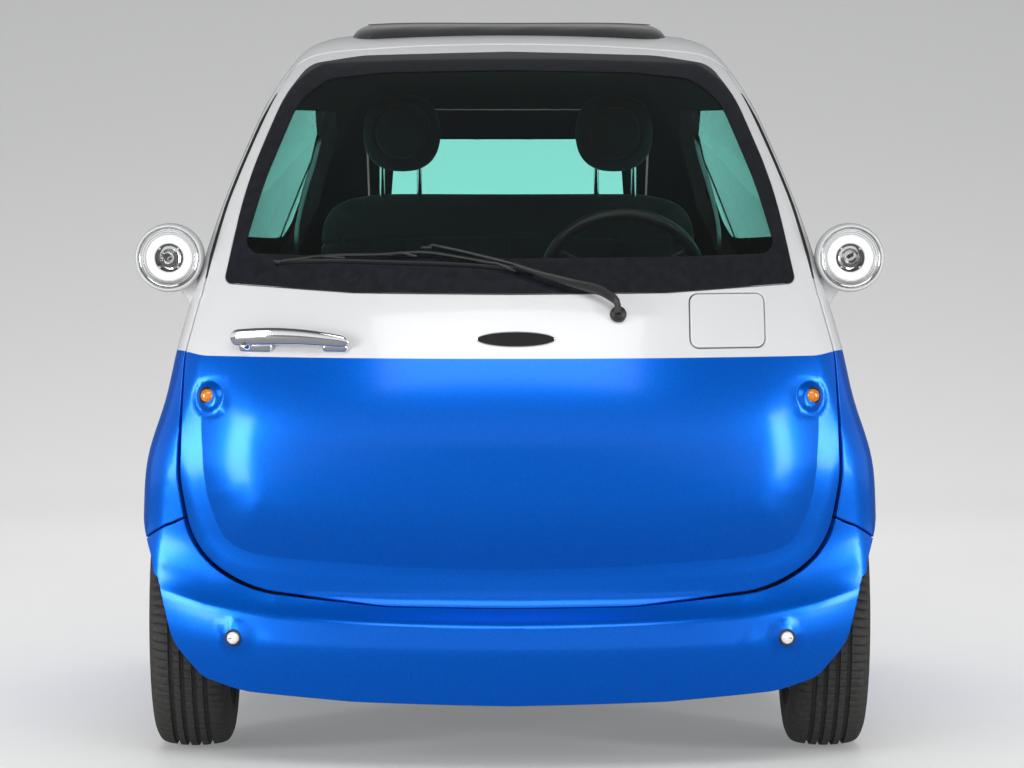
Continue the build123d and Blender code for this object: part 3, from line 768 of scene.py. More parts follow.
def material(name, colour, rough=0.5, metal=0.0, coat=0.0, spread=0.04, bump=0.0, scale=60.0, rough_spread=0.06,
             **sockets):
    """A Principled material whose colour, roughness and surface vary with noise in object space."""
    mat = bpy.data.materials.new(name)
    mat.use_nodes = True
    tree = mat.node_tree
    shader = tree.nodes["Principled BSDF"]
    noise = add_node(tree, "TexNoise", Scale=scale, Detail=3.0)
    ramp = add_ramp(tree, [(0.3, [max(c * (1 - spread), 0) for c in colour]),
                           (0.7, [min(c * (1 + spread), 1) for c in colour])])
    wire(tree, (add_node(tree, "TexCoord"), "Object", noise, "Vector"), (noise, "Fac", ramp, "Fac"),
         (ramp, "Color", shader, "Base Color"))
    if rough_spread:
        span = add_node(tree, "MapRange", To_Min=max(rough - rough_spread, 0.0), To_Max=min(rough + rough_spread, 1.0))
        wire(tree, (noise, "Fac", span, "Value"), (span, "Result", shader, "Roughness"))
    set_inputs(shader, {"Roughness": rough, "Metallic": metal, "Coat Weight": coat,
                        **({"Coat Roughness": 0.03} if coat else {}), **sockets})
    if bump:
        height = add_node(tree, "Bump", Distance=bump * MM, Strength=1.0)
        wire(tree, (noise, "Fac", height, "Height"), (height, "Normal", shader, "Normal"))
    return mat


GLASSY = {"spread": 0.01, "rough_spread": 0, "Transmission_Weight": 1.0, "IOR": 1.45}
WHITE = material("white_lacquer", (0.665, 0.667, 0.675), 0.24, coat=0.4, spread=0.008, scale=9, rough_spread=0.03)
BLUE = material("blue_lacquer", (0.0, 0.118, 0.63), 0.28, metal=0.55, coat=0.25, spread=0.05, scale=900,
                rough_spread=0.04, Coat_Roughness=0.14, Coat_Tint=(0.55, 0.85, 1.0, 1.0),
                Specular_Tint=(0.05, 0.45, 1.0, 1.0))
TRIM = material("cabin_lining", (0.03, 0.031, 0.034), 0.75, spread=0.25, bump=0.3, scale=420)
FRIT = material("black_ceramic_band", (0.011, 0.012, 0.016), 0.12, coat=1.0, spread=0.3, rough_spread=0.03)
SCREEN = material("windscreen_glass", (0.86, 0.93, 0.92), 0.0, scale=3, **GLASSY)
TINT = material("side_glass_tint", (0.33, 0.95, 0.82), 0.0, scale=3, **GLASSY)
RUBBER_SEAL = material("rubber_seal", (0.012, 0.012, 0.013), 0.6, spread=0.2, bump=0.1, scale=300)
CHROME = material("polished_chrome", (0.82, 0.82, 0.83), 0.06, metal=1.0, spread=0.02, rough_spread=0.03, scale=14)
BLACK = material("moulded_black_plastic", (0.018, 0.018, 0.019), 0.42, spread=0.2, bump=0.05, scale=900)
STEEL = material("painted_dark_steel", (0.05, 0.05, 0.053), 0.45, metal=0.4, spread=0.3, bump=0.1, scale=80)
ALLOY = material("cast_alloy", (0.55, 0.56, 0.57), 0.38, metal=1.0, spread=0.12, bump=0.12, scale=160)
RUBBER = material("tyre_rubber", (0.034, 0.032, 0.030), 0.72, spread=0.3, bump=0.15, scale=140)
AMBER = material("amber_lens", (0.9, 0.28, 0.01), 0.12, coat=1.0, spread=0.1, scale=120, Transmission_Weight=0.25)
RED = material("red_lens", (0.55, 0.008, 0.006), 0.12, coat=1.0, spread=0.1, scale=120, Transmission_Weight=0.2)
CLEAR = material("clear_lens", (0.97, 0.97, 0.97), 0.02, **GLASSY)
MIRROR = material("mirror_silver", (0.92, 0.93, 0.94), 0.02, metal=1.0, spread=0.01, rough_spread=0.01)
CLOTH = material("woven_roof_cloth", (0.012, 0.012, 0.013), 0.85, spread=0.35, bump=0.35, scale=700,
                 Sheen_Weight=0.3)
SEAT = material("seat_cloth", (0.017, 0.017, 0.019), 0.82, spread=0.35, bump=0.4, scale=650, Sheen_Weight=0.25)
GLOW = material("daylight_ring", (0.95, 0.95, 0.93), 0.3, spread=0.02, scale=30, Emission_Strength=0.55,
                Emission_Color=(1, 1, 0.98, 1))
BADGE = material("badge_enamel", (0.012, 0.012, 0.013), 0.55, spread=0.05, scale=200, rough_spread=0.05,
                 Specular_IOR_Level=0.15)
PEARL = material("frosted_lamp_lens", (0.82, 0.81, 0.82), 0.16, coat=1.0, spread=0.06, scale=160, rough_spread=0.05)
STITCH = material("roof_thread", (0.05, 0.05, 0.052), 0.8, spread=0.3, bump=0.2, scale=900)
WHEEL_GRIP = material("wheel_leather", (0.02, 0.02, 0.021), 0.5, spread=0.25, bump=0.25, scale=420)
PALETTE = {UPPER: WHITE, LOWER: BLUE, BAND: FRIT, CLEAR_PART: SCREEN, TINTED_PART: TINT, LINING: TRIM}

# ---- body panels
side_mesh = panel([side_outline, soft(window_loop)], two_tone, [split_row(0, HALF_WAY)], edge_kinds=(None, BAND))
for mirrored, word in SIDES:
    make(f"lower_side_skin_{word}", side_mesh, "chassis", f"side_panel_{word}", {LOWER}, mirrored)
    make(f"upper_side_skin_{word}", side_mesh, "chassis", None if mirrored else "cabin_shell",
         {UPPER, LINING}, mirrored)

# front bumper, below the door and down round the tyres
above_bumper, bumper_top = at_height(opening, 480.0)
arch_down = locate(arch_line(FRONT_ARCH, arch_point(FRONT_ARCH, 437.0, True), arch_point(FRONT_ARCH, 372.0, True),
                             12), "side")
corner_cut = drawn([(686, 372, 0), (666, 290, 200), (653, 241, 120), (594, 176, 60), (513, 152, 200),
                    (300, 139, 500), (0, 134, 0)], "front")
bumper_outline = both_halves(np.concatenate((opening[:above_bumper], [bumper_top], arch_down, corner_cut[1:])))
crease_rows = [np.column_stack((np.arange(-1200, 1200, 9.0), np.full(267, NOSE_T + k)))
               for k in (-16, -10, -6, -3, 0, 3, 6, 10, 16)]
bumper_mesh = panel([soft(closed_even(bumper_outline))], plain_colour(LOWER), crease_rows, lining=LOWER, deep=30)
make("front_bumper_skin", bumper_mesh, "chassis", "front_bumper")

# rear bumper
rear_corner = locate([(346, 464)], "back")[0]
rear_down = locate([arch_point(REAR_ARCH, z, False) for z in np.linspace(464, 170, 40)], "side")
rear_outline = both_halves(np.concatenate(
    ([(HALF_WAY, rear_corner[1])], refine(np.array([rear_corner, rear_down[0]]), 9.0), rear_down[1:],
     locate([(500, 170), (250, 170), (0.01, 170)], "back"))), HALF_WAY)
rear_mesh = panel([soft(closed_even(rear_outline))], plain_colour(LOWER), lining=LOWER, deep=30)
make("rear_bumper_skin", rear_mesh, "chassis", "rear_bumper")

# the door, with the windscreen's opening and the service flap's pocket
screen_loop = both_halves(drawn([(0, 916, 0), (300, 918, 0), (558, 934, 14), (521, 1130, 900), (457, 1303, 260),
                                 (408, 1372, 56), (300, 1389, 300), (0, 1396, 0)], "front"))
flap_loop = drawn_loop([(348, 816, 14), (490, 816, 14), (490, 914, 14), (348, 914, 14)], "front", step=4.0)
crease = locate(refine(CREASE, 9.0), "front")
crease_out = unit(np.cross(cover_normals(*crease.T), np.gradient(points_of(crease), axis=0)), 0.0)
rows = [split_row(-900, 900)]
for amount in (-34, -28, -22, -14, -8, -4, -1.5, 0, 1.5, 4, 8, 14, 24, 36):
    row = np.column_stack(moved(*crease.T, crease_out * amount))
    row = row[row[:, 0] > 0]
    rows += [row, row * TO_RIGHT]
for r in (10, 15, 20, 26, 33):
    row = locate([(INDICATOR[0] + r * math.cos(a), INDICATOR[1] + r * math.sin(a))
                  for a in np.linspace(0, 2 * math.pi, 30)], "front")
    rows += [row, row * TO_RIGHT]
pressed["door"] = True
door_mesh = panel([soft(door_loop), soft(screen_loop), soft(grown(flap_loop, 4.0))], two_tone, rows, deep=38)
make("door_lower_skin", door_mesh, "front_door", "door_panel", {LOWER})
make("door_upper_skin", door_mesh, "front_door", "door_frame", {UPPER, LINING})
pressed["door"] = False
flap_mesh = panel([soft(grown(flap_loop, 1.5))], plain_colour(UPPER), lining=UPPER, deep=12, spacing=14, roll=1.6)
make("service_flap_skin", flap_mesh, "flap", "service_flap")

# the hatch
pane_loop = drawn_loop([(306, 966, 50), (276, 1262, 50), (-276, 1262, 50), (-306, 966, 50)], "back")
hatch_mesh = panel([soft(hatch_loop), soft(pane_loop)], two_tone,
                   [split_row(HALF_WAY, 3160), split_row(HALF_WAY, 3880)], deep=38)
make("hatch_lower_skin", hatch_mesh, "hatch", "hatch_panel", {LOWER})
make("hatch_upper_skin", hatch_mesh, "hatch", "hatch_frame", {UPPER, LINING})

# ---- panes


def pane(loop, clear, kind):
    """A pane of the glass of that kind, black between its edge and the outline of its clear part."""
    return panel([soft(loop)], lambda p, ut: np.where(inside(ut, clear), kind, BAND),
                 [np.concatenate((clear, clear[:1]))], lining=None, deep=GLASS, roll=1.2, edge_kinds=(BAND, BAND),
                 raised=0.4)


screen_clear = both_halves(drawn([(0, 984, 0), (300, 986, 0), (522, 992, 26), (486, 1130, 900), (424, 1296, 240),
                                  (366, 1340, 60), (250, 1352, 300), (0, 1356, 0)], "front"))
make("windscreen_pane", pane(screen_loop, screen_clear, CLEAR_PART), "front_door", "windscreen")
make("rear_pane", pane(pane_loop, grown(pane_loop, -12), TINTED_PART), "hatch", "rear_glass")
side_clear = drawn_loop([(-806, 1028, 24), (-768, 1085, 200), (-668, 1196, 120), (-572, 1280, 50), (374, 1294, 60),
                         (546, 1244, 60), (680, 1168, 60), (776, 1086, 60), (838, 1004, 30), (700, 1000, 200)], "side")
side_pane = pane(window_loop, side_clear, TINTED_PART)
for mirrored, word in SIDES:
    make(f"side_pane_{word}", side_pane, "chassis", f"side_glass_{word}", mirrored=mirrored)

# ---- shapes made from points and faces


class Shape:
    """Points in millimetres and faces that each carry a finish number."""

    def __init__(self):
        self.points, self.faces, self.kinds = [], [], []

    def add(self, points, faces, kind=0):
        first = len(self.points)
        self.points += [tuple(float(v) for v in p) for p in points]
        self.faces += [tuple(first + int(i) for i in f) for f in faces]
        self.kinds += [kind] * len(faces) if isinstance(kind, int) else list(kind)
        return self


def turn_to(direction):
    """The matrix that turns +Z to a direction."""
    return np.array(Vector((0, 0, 1)).rotation_difference(Vector(direction).normalized()).to_matrix())


def round_angles(count):
    return np.linspace(0, 2 * math.pi, count, endpoint=False)


def rings_to_faces(count, steps, closed_ends=True):
    faces = [(i * steps + j, i * steps + (j + 1) % steps, (i + 1) * steps + (j + 1) % steps, (i + 1) * steps + j)
             for i in range(count - 1) for j in range(steps)]
    if closed_ends:
        faces += [tuple(range(steps))[::-1], tuple((count - 1) * steps + j for j in range(steps))]
    return faces


def lathe(shape, profile, centre, direction, kind=0, steps=72, squash=1.0):
    """A profile of (radius, distance along the direction) turned round it; squash narrows it upwards."""
    a = round_angles(steps)
    rings = np.array([np.column_stack((r * np.cos(a), r * np.sin(a) * squash, np.full(steps, h)))
                      for r, h in ((max(r, 0.01), h) for r, h in profile)])
    points = rings.reshape(-1, 3) @ turn_to(direction).T + np.array(centre, float)
    return shape.add(points, rings_to_faces(len(profile), steps, False), kind)


def tube(shape, path, radii, kind=0, steps=16, up=(0, 0, 1)):
    """A tube along a path; radii are one number, a pair across and along up, or either for each point."""
    path = np.array(path, float)
    radii = np.array(radii, float)
    radii = np.broadcast_to(radii[:, None] if radii.shape == (len(path),) else radii, (len(path), 2))
    along = unit(np.gradient(path, axis=0), 0.0)
    side = unit(np.cross(along, np.array(up, float)), 0.0)
    high = np.cross(side, along)
    a = round_angles(steps)
    rings = (path[:, None] + side[:, None] * (radii[:, :1] * np.cos(a))[..., None]
             + high[:, None] * (radii[:, 1:] * np.sin(a))[..., None])
    return shape.add(rings.reshape(-1, 3), rings_to_faces(len(path), steps), kind)


def block(shape, low, high, radius, kind=0, turn=None):
    """A box between two corners with rounded edges, turned about its middle by a matrix."""
    mesh = bmesh.new()
    bmesh.ops.create_cube(mesh, size=1.0)
    low, high = np.array(low, float), np.array(high, float)
    centre = (low + high) / 2
    for v in mesh.verts:
        v.co = Vector(centre + np.array(v.co) * (high - low))
    bmesh.ops.bevel(mesh, geom=mesh.edges[:], offset=radius, segments=3, profile=0.5, affect="EDGES")
    points, faces = points_and_faces(mesh)
    if turn is not None:
        points = (points - centre) @ np.array(turn).T + centre
    return shape.add(points, faces, kind)


def points_and_faces(mesh):
    """What is in a bmesh, which is freed."""
    points, faces = np.array([tuple(v.co) for v in mesh.verts]), [[v.index for v in f.verts] for f in mesh.faces]
    mesh.free()
    return points, faces


def smoothed(points, count):
    """A smooth line of so many points through a few."""
    points = np.array(points, float)
    knots = np.concatenate(([0], np.cumsum(np.linalg.norm(np.diff(points, axis=0), axis=1))))
    t = np.linspace(0, knots[-1], count)
    slope = np.gradient(points, knots, axis=0)
    i = np.clip(np.searchsorted(knots, t, side="right") - 1, 0, len(knots) - 2)
    h = (knots[i + 1] - knots[i])[:, None]
    k = (t - knots[i])[:, None] / h
    return ((1 + 2 * k) * (1 - k) ** 2 * points[i] + k * (1 - k) ** 2 * h * slope[i]
            + k * k * (3 - 2 * k) * points[i + 1] + k * k * (k - 1) * h * slope[i + 1])


def place(name, shape, finishes, body, node=None, slot=None, mirrored=False, angle=38.0):
    """An object from a Shape, smooth but for edges sharper than the angle."""
    points = np.array(shape.points) * MM
    data = new_mesh(name, points * MIRROR_X if mirrored else points, shape.faces, finishes, shape.kinds)
    work = bmesh.new()
    work.from_mesh(data)
    bmesh.ops.remove_doubles(work, verts=work.verts, dist=2e-5)
    bmesh.ops.recalc_face_normals(work, faces=work.faces)
    work.to_mesh(data)
    work.free()
    data.set_sharp_from_angle(angle=math.radians(angle))
    return dress(new_object(name, data), body, node)


def place_both(*rows):
    """Left and mirrored right pieces from rows of name, shape, finishes, body, node, slot and angle."""
    for mirrored, word in SIDES:
        for name, shape, finishes, body, node, slot, *angle in rows:
            place(f"{name}_{word}", shape, finishes, body, node and f"{node}_{word}", slot, mirrored, *angle)


def on_skin(x, z, off=0.0, view="front"):
    """The skin's point seen at x and z, moved out by off, and its normal."""
    line = locate([(x, z)], view)
    n = cover_normals(*line.T)[0]
    return points_of(line)[0] + n * off, n


# ---- lamp pods with their mirrors
POD = (669.0, -917.0, 982.0)
ASIDE = (0, 1, 0)
pod = Shape()
lathe(pod, [(0, 34), (50, 33), (59.2, 29), (60.0, 7), (60.6, 2.4), (61.8, 0.4), (63.4, 0.8), (64.8, 4), (66.2, 12),
            (67.5, 26), (68, 44), (67.8, 62), (66, 78), (62, 91), (56, 100), (49.5, 105), (45.2, 107.4), (43.6, 108),
            (42.2, 106.6), (41.9, 102), (0, 102)], POD, ASIDE, 0)
tube(pod, smoothed([(602, -857, 884), (608, -858, 902), (624, -860, 926), (648, -862, 952)], 14),
     np.column_stack([np.interp(range(14), (0, 5, 9, 13), r) for r in ((29, 27, 26, 36), (27, 25, 24, 32))]), 0, 28,
     up=(0, 1, 0))
rings = Shape()
lathe(rings, [(60.3, 5.4), (58.9, 6.2), (57.9, 9), (54.9, 10.2), (54.2, 12.4), (50.9, 13.2), (50.2, 15.4),
              (46.9, 16.2), (46.2, 18.6), (44.4, 19.6)], POD, ASIDE, 0)
for radius, depth in ((58.3, 8.2), (54.5, 11.6), (50.5, 14.7), (46.5, 17.8)):
    lathe(rings, [(radius + 0.6, depth), (radius + 0.2, depth - 0.7), (radius - 0.5, depth + 0.2)], POD, ASIDE, 1)
lathe(rings, [(44.4, 19.6), (44.2, 15.6), (42, 13.0), (38, 11.8), (34, 12.0), (30.6, 13.6), (28.4, 16.4), (28, 19.6)],
      POD, ASIDE, 2)
lathe(rings, [(28, 19.6), (27.4, 14.4), (26.2, 13.2), (25, 14.6), (24.4, 27), (12, 33), (0, 33)], POD, ASIDE, 1)
lathe(rings, [(24.3, 24), (20, 30), (12, 32), (0, 32.4)], POD, ASIDE, 0)
for turn in range(4):
    a = math.radians(45 + 90 * turn)
    screw = (POD[0] + 25.6 * math.cos(a), POD[1] + 14, POD[2] + 25.6 * math.sin(a))
    lathe(rings, [(0, -3), (2.2, -2.6), (2.4, 0)], screw, ASIDE, 0, steps=12)
glass = Shape()
lathe(glass, [(60.1, 7.4), (59.0, 4.6), (50, 2.6), (34, 0.8), (16, -0.4), (0, -0.8), (0, 1.2), (16, 1.6), (34, 2.8),
              (50, 4.6), (58, 6.6), (60.1, 7.4)], POD, ASIDE, 0)
lathe(glass, [(24, 21), (22.6, 16.6), (18, 12.6), (10, 10.2), (0, 9.4), (0, 17), (12, 18), (24, 21)], POD, ASIDE, 0)
mirror = Shape()
lathe(mirror, [(0, 106.4), (24, 106.0), (40.4, 105.0), (41.4, 103.8), (41.4, 101)], POD, ASIDE, 0)
place_both(("headlamp_pod", pod, [WHITE], "chassis", "headlamp_housing", "white_paint"),
           ("headlamp_reflector", rings, [CHROME, BLACK, GLOW], "chassis", None, "bright_chrome", 50),
           ("headlamp_glass", glass, [CLEAR], "chassis", "headlamp_lens", "lamp_glass"),
           ("pod_mirror", mirror, [MIRROR], "chassis", "mirror_glass", "mirror"))

# ---- small lamps
indicator, reflector, tail = Shape(), Shape(), Shape()
spot, outward = on_skin(*INDICATOR)
facing = np.array((outward[0] * 0.5, outward[1], outward[2] * 0.5))
lathe(indicator, [(17.5, -7), (17.2, -1), (16.2, 1.6), (14.6, 2.6), (13.4, 2.0), (13.0, -1)], spot, facing, 0, 48)
lathe(indicator, [(13.2, 0), (12.9, 3.4), (11.6, 6.6), (8.6, 9.0), (4.6, 10.3), (0, 10.7)], spot, facing, 1, 48)
for height in (-7.5, -2.5, 2.5, 7.5):
    tube(indicator, [spot + facing * 5 + (x, -3.9 + abs(x) * 0.18, height) for x in np.linspace(-10, 10, 9)], 0.8, 1, 6)
spot, outward = on_skin(*BUMPER_LAMP)
facing = np.array((outward[0] * 0.4, outward[1], outward[2] * 0.4))
lathe(reflector, [(16.5, -8), (16.3, 1), (15.4, 3.6), (13.8, 4.6), (12.6, 3.8), (12.2, 0)], spot, facing, 0, 48)
lathe(reflector, [(12.2, 1), (11.6, 5), (9.2, 7.8), (5, 9.4), (0, 9.8)], spot, facing, 1, 48)
lathe(reflector, [(12.2, 0.6), (8, -2), (3.4, -4), (3, 1), (0, 1.4)], spot, facing, 2, 48)
tube(reflector, [spot + facing * 9.2 + (x, 0, 0) for x in np.linspace(-7, 7, 7)], 0.9, 0, 6)
spot, outward = on_skin(470, 700, view="back")
lathe(tail, [(35, -6), (35, 4), (34, 7), (32, 8), (30.4, 7.2), (30, 3)], spot, (0, 1, 0), 0, 64)
lathe(tail, [(30.2, 4), (30, 8), (27, 11.6), (20, 14.4), (10, 16), (0, 16.4)], spot, (0, 1, 0), 1, 64)
for radius in (9, 15, 21, 26):
    square = radius * radius
    lathe(tail, [(radius + 1.2, 15.6 - square * 0.006), (radius, 16.8 - square * 0.006),
                 (radius - 1.2, 15.6 - square * 0.0055)], spot, (0, 1, 0), 1, 64)
place_both(("indicator_lamp", indicator, [BLACK, AMBER], "front_door", "indicator", "amber_lens"),
           ("bumper_lamp_unit", reflector, [STEEL, PEARL, WHITE], "chassis", "bumper_lamp", "lamp_glass"),
           ("tail_lamp_unit", tail, [CHROME, RED], "chassis", "tail_lamp", "red_lens"))

# ---- the door's handle, badge, wiper and seals
UP = np.array((0, 0, 1))
handle = Shape()
angles = round_angles(24)


def blunt(s, length, ends):
    """How full a bar is at a share of its length, with rounded ends."""
    return math.sqrt(max(0.0, 1 - max(0.0, 1 - min(s, 1 - s) * length / ends) ** 2))


def fuller(k):
    """A sine or cosine swollen towards a rounded square."""
    return np.sign(k) * abs(k) ** 0.85


GRIP_FROM, GRIP_LONG, GRIP_HALF_DEEP = -532, 228, 7.5
points = []
for s in np.linspace(0.0, 1.0, 49):
    grip = max(blunt(s, GRIP_LONG, 15.0), 0.04)
    top, bottom = 842.0 - 8 * (2 * s - 0.7) ** 2, 807.5 + 3 * math.sin(math.pi * s)
    p, n = on_skin(GRIP_FROM + GRIP_LONG * s, (top + bottom) / 2, 20 + 6 * math.sin(math.pi * s))
    tall = UP * (grip * (top - bottom) / 2)
    points += [p + n * (grip * GRIP_HALF_DEEP * fuller(math.sin(a))) + tall * fuller(math.cos(a)) for a in angles]
handle.add(points, rings_to_faces(49, 24))
for x0, x1, low, high in ((-522, -454, 801, 824), (-360, -308, 803, 821)):
    foot = []
    for s in np.linspace(0, 1, 17):
        k = max(blunt(s, x1 - x0, 9.0), 0.05)
        p, n = on_skin(x0 + (x1 - x0) * s, (low + high) / 2, 4)
        foot += [p + n * (9 * k * math.sin(a)) + UP * ((high - low) / 2 * k * math.cos(a)) for a in angles]
    handle.add(foot, rings_to_faces(17, 24))
p, n = on_skin(-502, 815, 8)
lathe(handle, [(10.5, -4), (10.5, 14), (9.6, 16), (7.6, 16.4), (7.2, 15), (0, 15)], p, n, 0, 40)
lathe(handle, [(2.6, 15), (2.4, 15.8), (0, 15.8)], p, n, 1, 20)
place("door_grip", handle, [CHROME, BLACK], "front_door", "door_handle", "bright_chrome")

badge = Shape()
BADGE_AT, BADGE_HALF = (11.0, 831.0), (75, 14.5)


def badge_rings(*rings):
    """Points round the badge's oval, in rings that are so much smaller and stand so far off the skin."""
    return [on_skin(BADGE_AT[0] + (BADGE_HALF[0] - inset) * math.cos(a),
                    BADGE_AT[1] + (BADGE_HALF[1] - inset) * math.sin(a), off)[0]
            for inset, off in rings for a in round_angles(96)]


badge.add(badge_rings((0, -2), (0, 2.2), (0.4, 2.9), (1.0, 3.2), (1.6, 2.9), (2.0, 2.3)),
          rings_to_faces(6, 96, False))
badge.add(badge_rings(*((g, 2.4 + 0.5 * (1 - (1 - g / 14.5) ** 2)) for g in (1.9, 5, 8, 11, 14.4))),
          rings_to_faces(5, 96, False) + [tuple(range(4 * 96, 5 * 96))], 1)
place("door_badge", badge, [CHROME, BADGE], "front_door", "nose_badge", "bright_chrome")

wiper = Shape()
ALONG_GLASS = (0, -0.64, 0.77)


def towards(x, z, lift):
    """A point in front of the glass that is seen at x and z."""
    return on_skin(x, z)[0] + (0, -lift, 0)


def lifted_line(*points):
    return [towards(*p) for p in points]


boss, n = on_skin(206, 877)
lathe(wiper, [(16, -4), (15.6, 8), (14, 13), (11, 15.5), (6, 16.5), (0, 16.7)], boss, n * (1, 1, 0.6), 0, 40)
arm = smoothed(lifted_line((206, 880, 22), (203, 903, 26), (187, 916, 28), (109, 941, 26), (58, 956, 24),
                           (8, 974, 23)), 30)
widths = np.interp(range(30), (0, 5, 9, 17, 29), (9, 11, 12.5, 9, 4.0))
tube(wiper, arm, np.column_stack((np.full(30, 6.0), widths)), 0, 14, up=(0, -0.6, 0.8))
tube(wiper, lifted_line((12, 973, 24), (-20, 981, 21), (-100, 1000, 19), (-150, 1010, 17), (-160, 1003, 13)), 2.6, 1,
     10)
blade = smoothed([(-452, 975), (-380, 978), (-215, 976), (-60, 970), (40, 960)], 30)
tube(wiper, lifted_line(*((x, z, 6) for x, z in blade)), (2.0, 5.0), 2, 8, up=ALONG_GLASS)
spine = smoothed([(-440, 979), (-352, 989), (-246, 992), (-160, 996), (-97, 987), (12, 967)], 30)
tube(wiper, lifted_line(*((x, z, 13) for x, z in spine)), (3.4, 2.6), 0, 10, up=ALONG_GLASS)
for x0, z0, x1, z1 in ((-420, 980, -320, 990), (-240, 990, -180, 994), (-60, 978, 10, 966)):
    tube(wiper, lifted_line((x0, z0, 7), ((x0 + x1) / 2, (z0 + z1) / 2 + 3, 17), (x1, z1 - 6, 7)), 2.6, 0, 8)
for x, z in ((-452, 976), (40, 961)):
    lathe(wiper, [(0, -7), (4.6, -6), (5, 0), (4.6, 6), (0, 7)], towards(x, z, 8), (1, 0, -0.05), 0, 14)
block(wiper, towards(-172, 1002, 24), towards(-150, 988, 6) + (0, 0, 20), 3.0)
place("wiper_unit", wiper, [BLACK, STEEL, RUBBER_SEAL], "front_door", "wiper", "black_plastic")

seal_line = grown(door_loop, GAP * 0.5)
seal_points, seal_normals = points_of(seal_line), cover_normals(*seal_line.T)
seal = Shape()
chosen = [i for i, (x, _, z) in enumerate(seal_points) if x > 300 and 938 < z < 1312]
chosen.sort(key=lambda i: seal_points[i, 2])
taper = np.interp(seal_points[chosen, 2], (938, 990, 1250, 1312), (0.25, 1, 1, 0.25))
tube(seal, seal_points[chosen] - seal_normals[chosen], np.outer(taper, (4.6, 4.0)), 0, 10, up=ALONG_GLASS)
place_both(("pillar_seal", seal, [RUBBER_SEAL], "front_door", None, "black_plastic"))

# ---- tyres and wheels
WHEELS = {"front": (629.0, -740.0), "rear": (480.0, 780.0)}  # half track and axle
WHEEL_Z = TYRE_R = 266.0
PITCHES = 92  # tread blocks round a tyre
GROOVES = ((-33.0, 4.2), (-11.5, 3.8), (11.5, 3.8), (33.0, 4.2))  # place across the tread and half width
SIDEWALL = [(63.5, 166), (70, 176), (76, 196), (77.3, 213), (76.2, 228), (72.4, 243), (68.5, 250.5), (64.6, 255.2),
            (59.5, 258.2), (54, 260.2)]


def wheel_circle(x, radius, turns):
    """Points round the X axis."""
    a = 2 * math.pi * turns
    return np.column_stack((np.broadcast_to(x, a.shape), radius * np.cos(a), radius * np.sin(a)))


def tyre_shape():
    """A tyre about X with grooves round it, sipes across its ribs and lugs on its shoulders."""
    cuts = {}
    for middle, half in GROOVES:
        cuts |= {middle - half - 0.9: 0, middle - half: 7, middle + half: 7, middle + half + 0.9: 0}
    ribs = sorted({-50.0, 50.0, -44, -39, -25, -19, -5, 0, 5, 19, 25, 39, 44, *cuts})
    rows = np.array([(-w, r) for w, r in SIDEWALL]
                    + [(w, TYRE_R - 0.0019 * w * w - cuts.get(w, 0)) for w in ribs] + SIDEWALL[::-1])
    w, plain_r = rows.T
    wide = np.abs(w)
    groove = np.any([np.abs(w - middle) < half + 0.5 for middle, half in GROOVES], axis=0)
    shoulder, rib = (wide > 44) & (plain_r > 247), (wide <= 44) & ~groove
    skew = np.interp(wide, (0, 44, 70), (0, 0.010, 0.022)) * np.sign(w) / (2 * math.pi)
    steps, n = PITCHES * 5, len(rows)
    points = []
    for j in range(steps):
        r = plain_r.copy()
        if j % 5 == 0:
            r -= 5.0 * shoulder + 3.0 * rib
        if j % 5 == 1:
            r -= 2.5 * (shoulder & (wide > 50))
        points.append(wheel_circle(w, r, j / steps + skew))
    shape = Shape()
    faces = [(j * n + i, j * n + (i + 1) % n, (j + 1) % steps * n + (i + 1) % n, (j + 1) % steps * n + i)
             for j in range(steps) for i in range(n)]
    shape.add(np.concatenate(points), faces)
    for radius in (182, 186, 236):
        for side in (-1, 1):
            x = np.interp(radius, (176, 196, 213, 228, 243), (70, 76, 77.3, 76.2, 72.4)) * side
            tube(shape, wheel_circle(x, radius, np.linspace(0, 1, 121)), 0.8, 0, 6, up=(1, 0, 0))
    return shape


def wheel_trim(side):
    """Bolts, the centre cap and the valve of a wheel."""
    shape = Shape()
    out = (side, 0, 0)
    for k in range(4):
        a = math.radians(45 + 90 * k)
        spot = (side * 40, 50 * math.cos(a), 50 * math.sin(a))
        lathe(shape, [(12, 0), (12, 6.5), (11, 8.5), (9.6, 9), (9.2, 4), (0, 4)], spot, out, 1, 20)
        lathe(shape, [(8.2, 3), (8.2, 14), (7.2, 15.6), (0, 16.2)], spot, out, 0, 6)
    lathe(shape, [(30, 47), (30, 53), (28.6, 56), (24, 58.5), (14, 60.6), (0, 61.4)], (0, 0, 0), out, 0, 48)
    lathe(shape, [(27.2, 57.6), (26.4, 58.4), (25.6, 58.0)], (0, 0, 0), out, 1, 48)
    lathe(shape, [(152, 59.5), (156, 62.5), (161, 63.5), (165.6, 64.6), (168.5, 67.5), (169, 70.5), (167.5, 71.5),
                  (165.2, 68), (160, 66.2), (152, 63.2), (150, 61)], (0, 0, 0), out, 0, 96)
    valve = [wheel_circle(side * x, r, np.array([20 / 360]))[0] for x, r in ((46, 143), (56, 141), (66, 138))]
    tube(shape, valve, [3.6, 3.4, 3.0], 1, 12, up=(0, 1, 0))
    return shape


def shifted(shape, offset):
    """A moved copy of a shape."""
    return Shape().add(np.array(shape.points) + offset, shape.faces, shape.kinds)


tread = tyre_shape()
for end, (track, axle) in WHEELS.items():
    for side, word in ((1, "left"), (-1, "right")):
        hub = (side * track, axle, WHEEL_Z)
        body = f"wheel_{end}_{word}"
        place(f"tyre_tread_{end}_{word}", shifted(tread, hub), [RUBBER], body, f"tyre_{end}_{word}", "tyre_rubber",
              angle=28)
        place(f"wheel_trim_{end}_{word}", shifted(wheel_trim(side), hub), [ALLOY, BLACK], body, None, "cast_alloy")

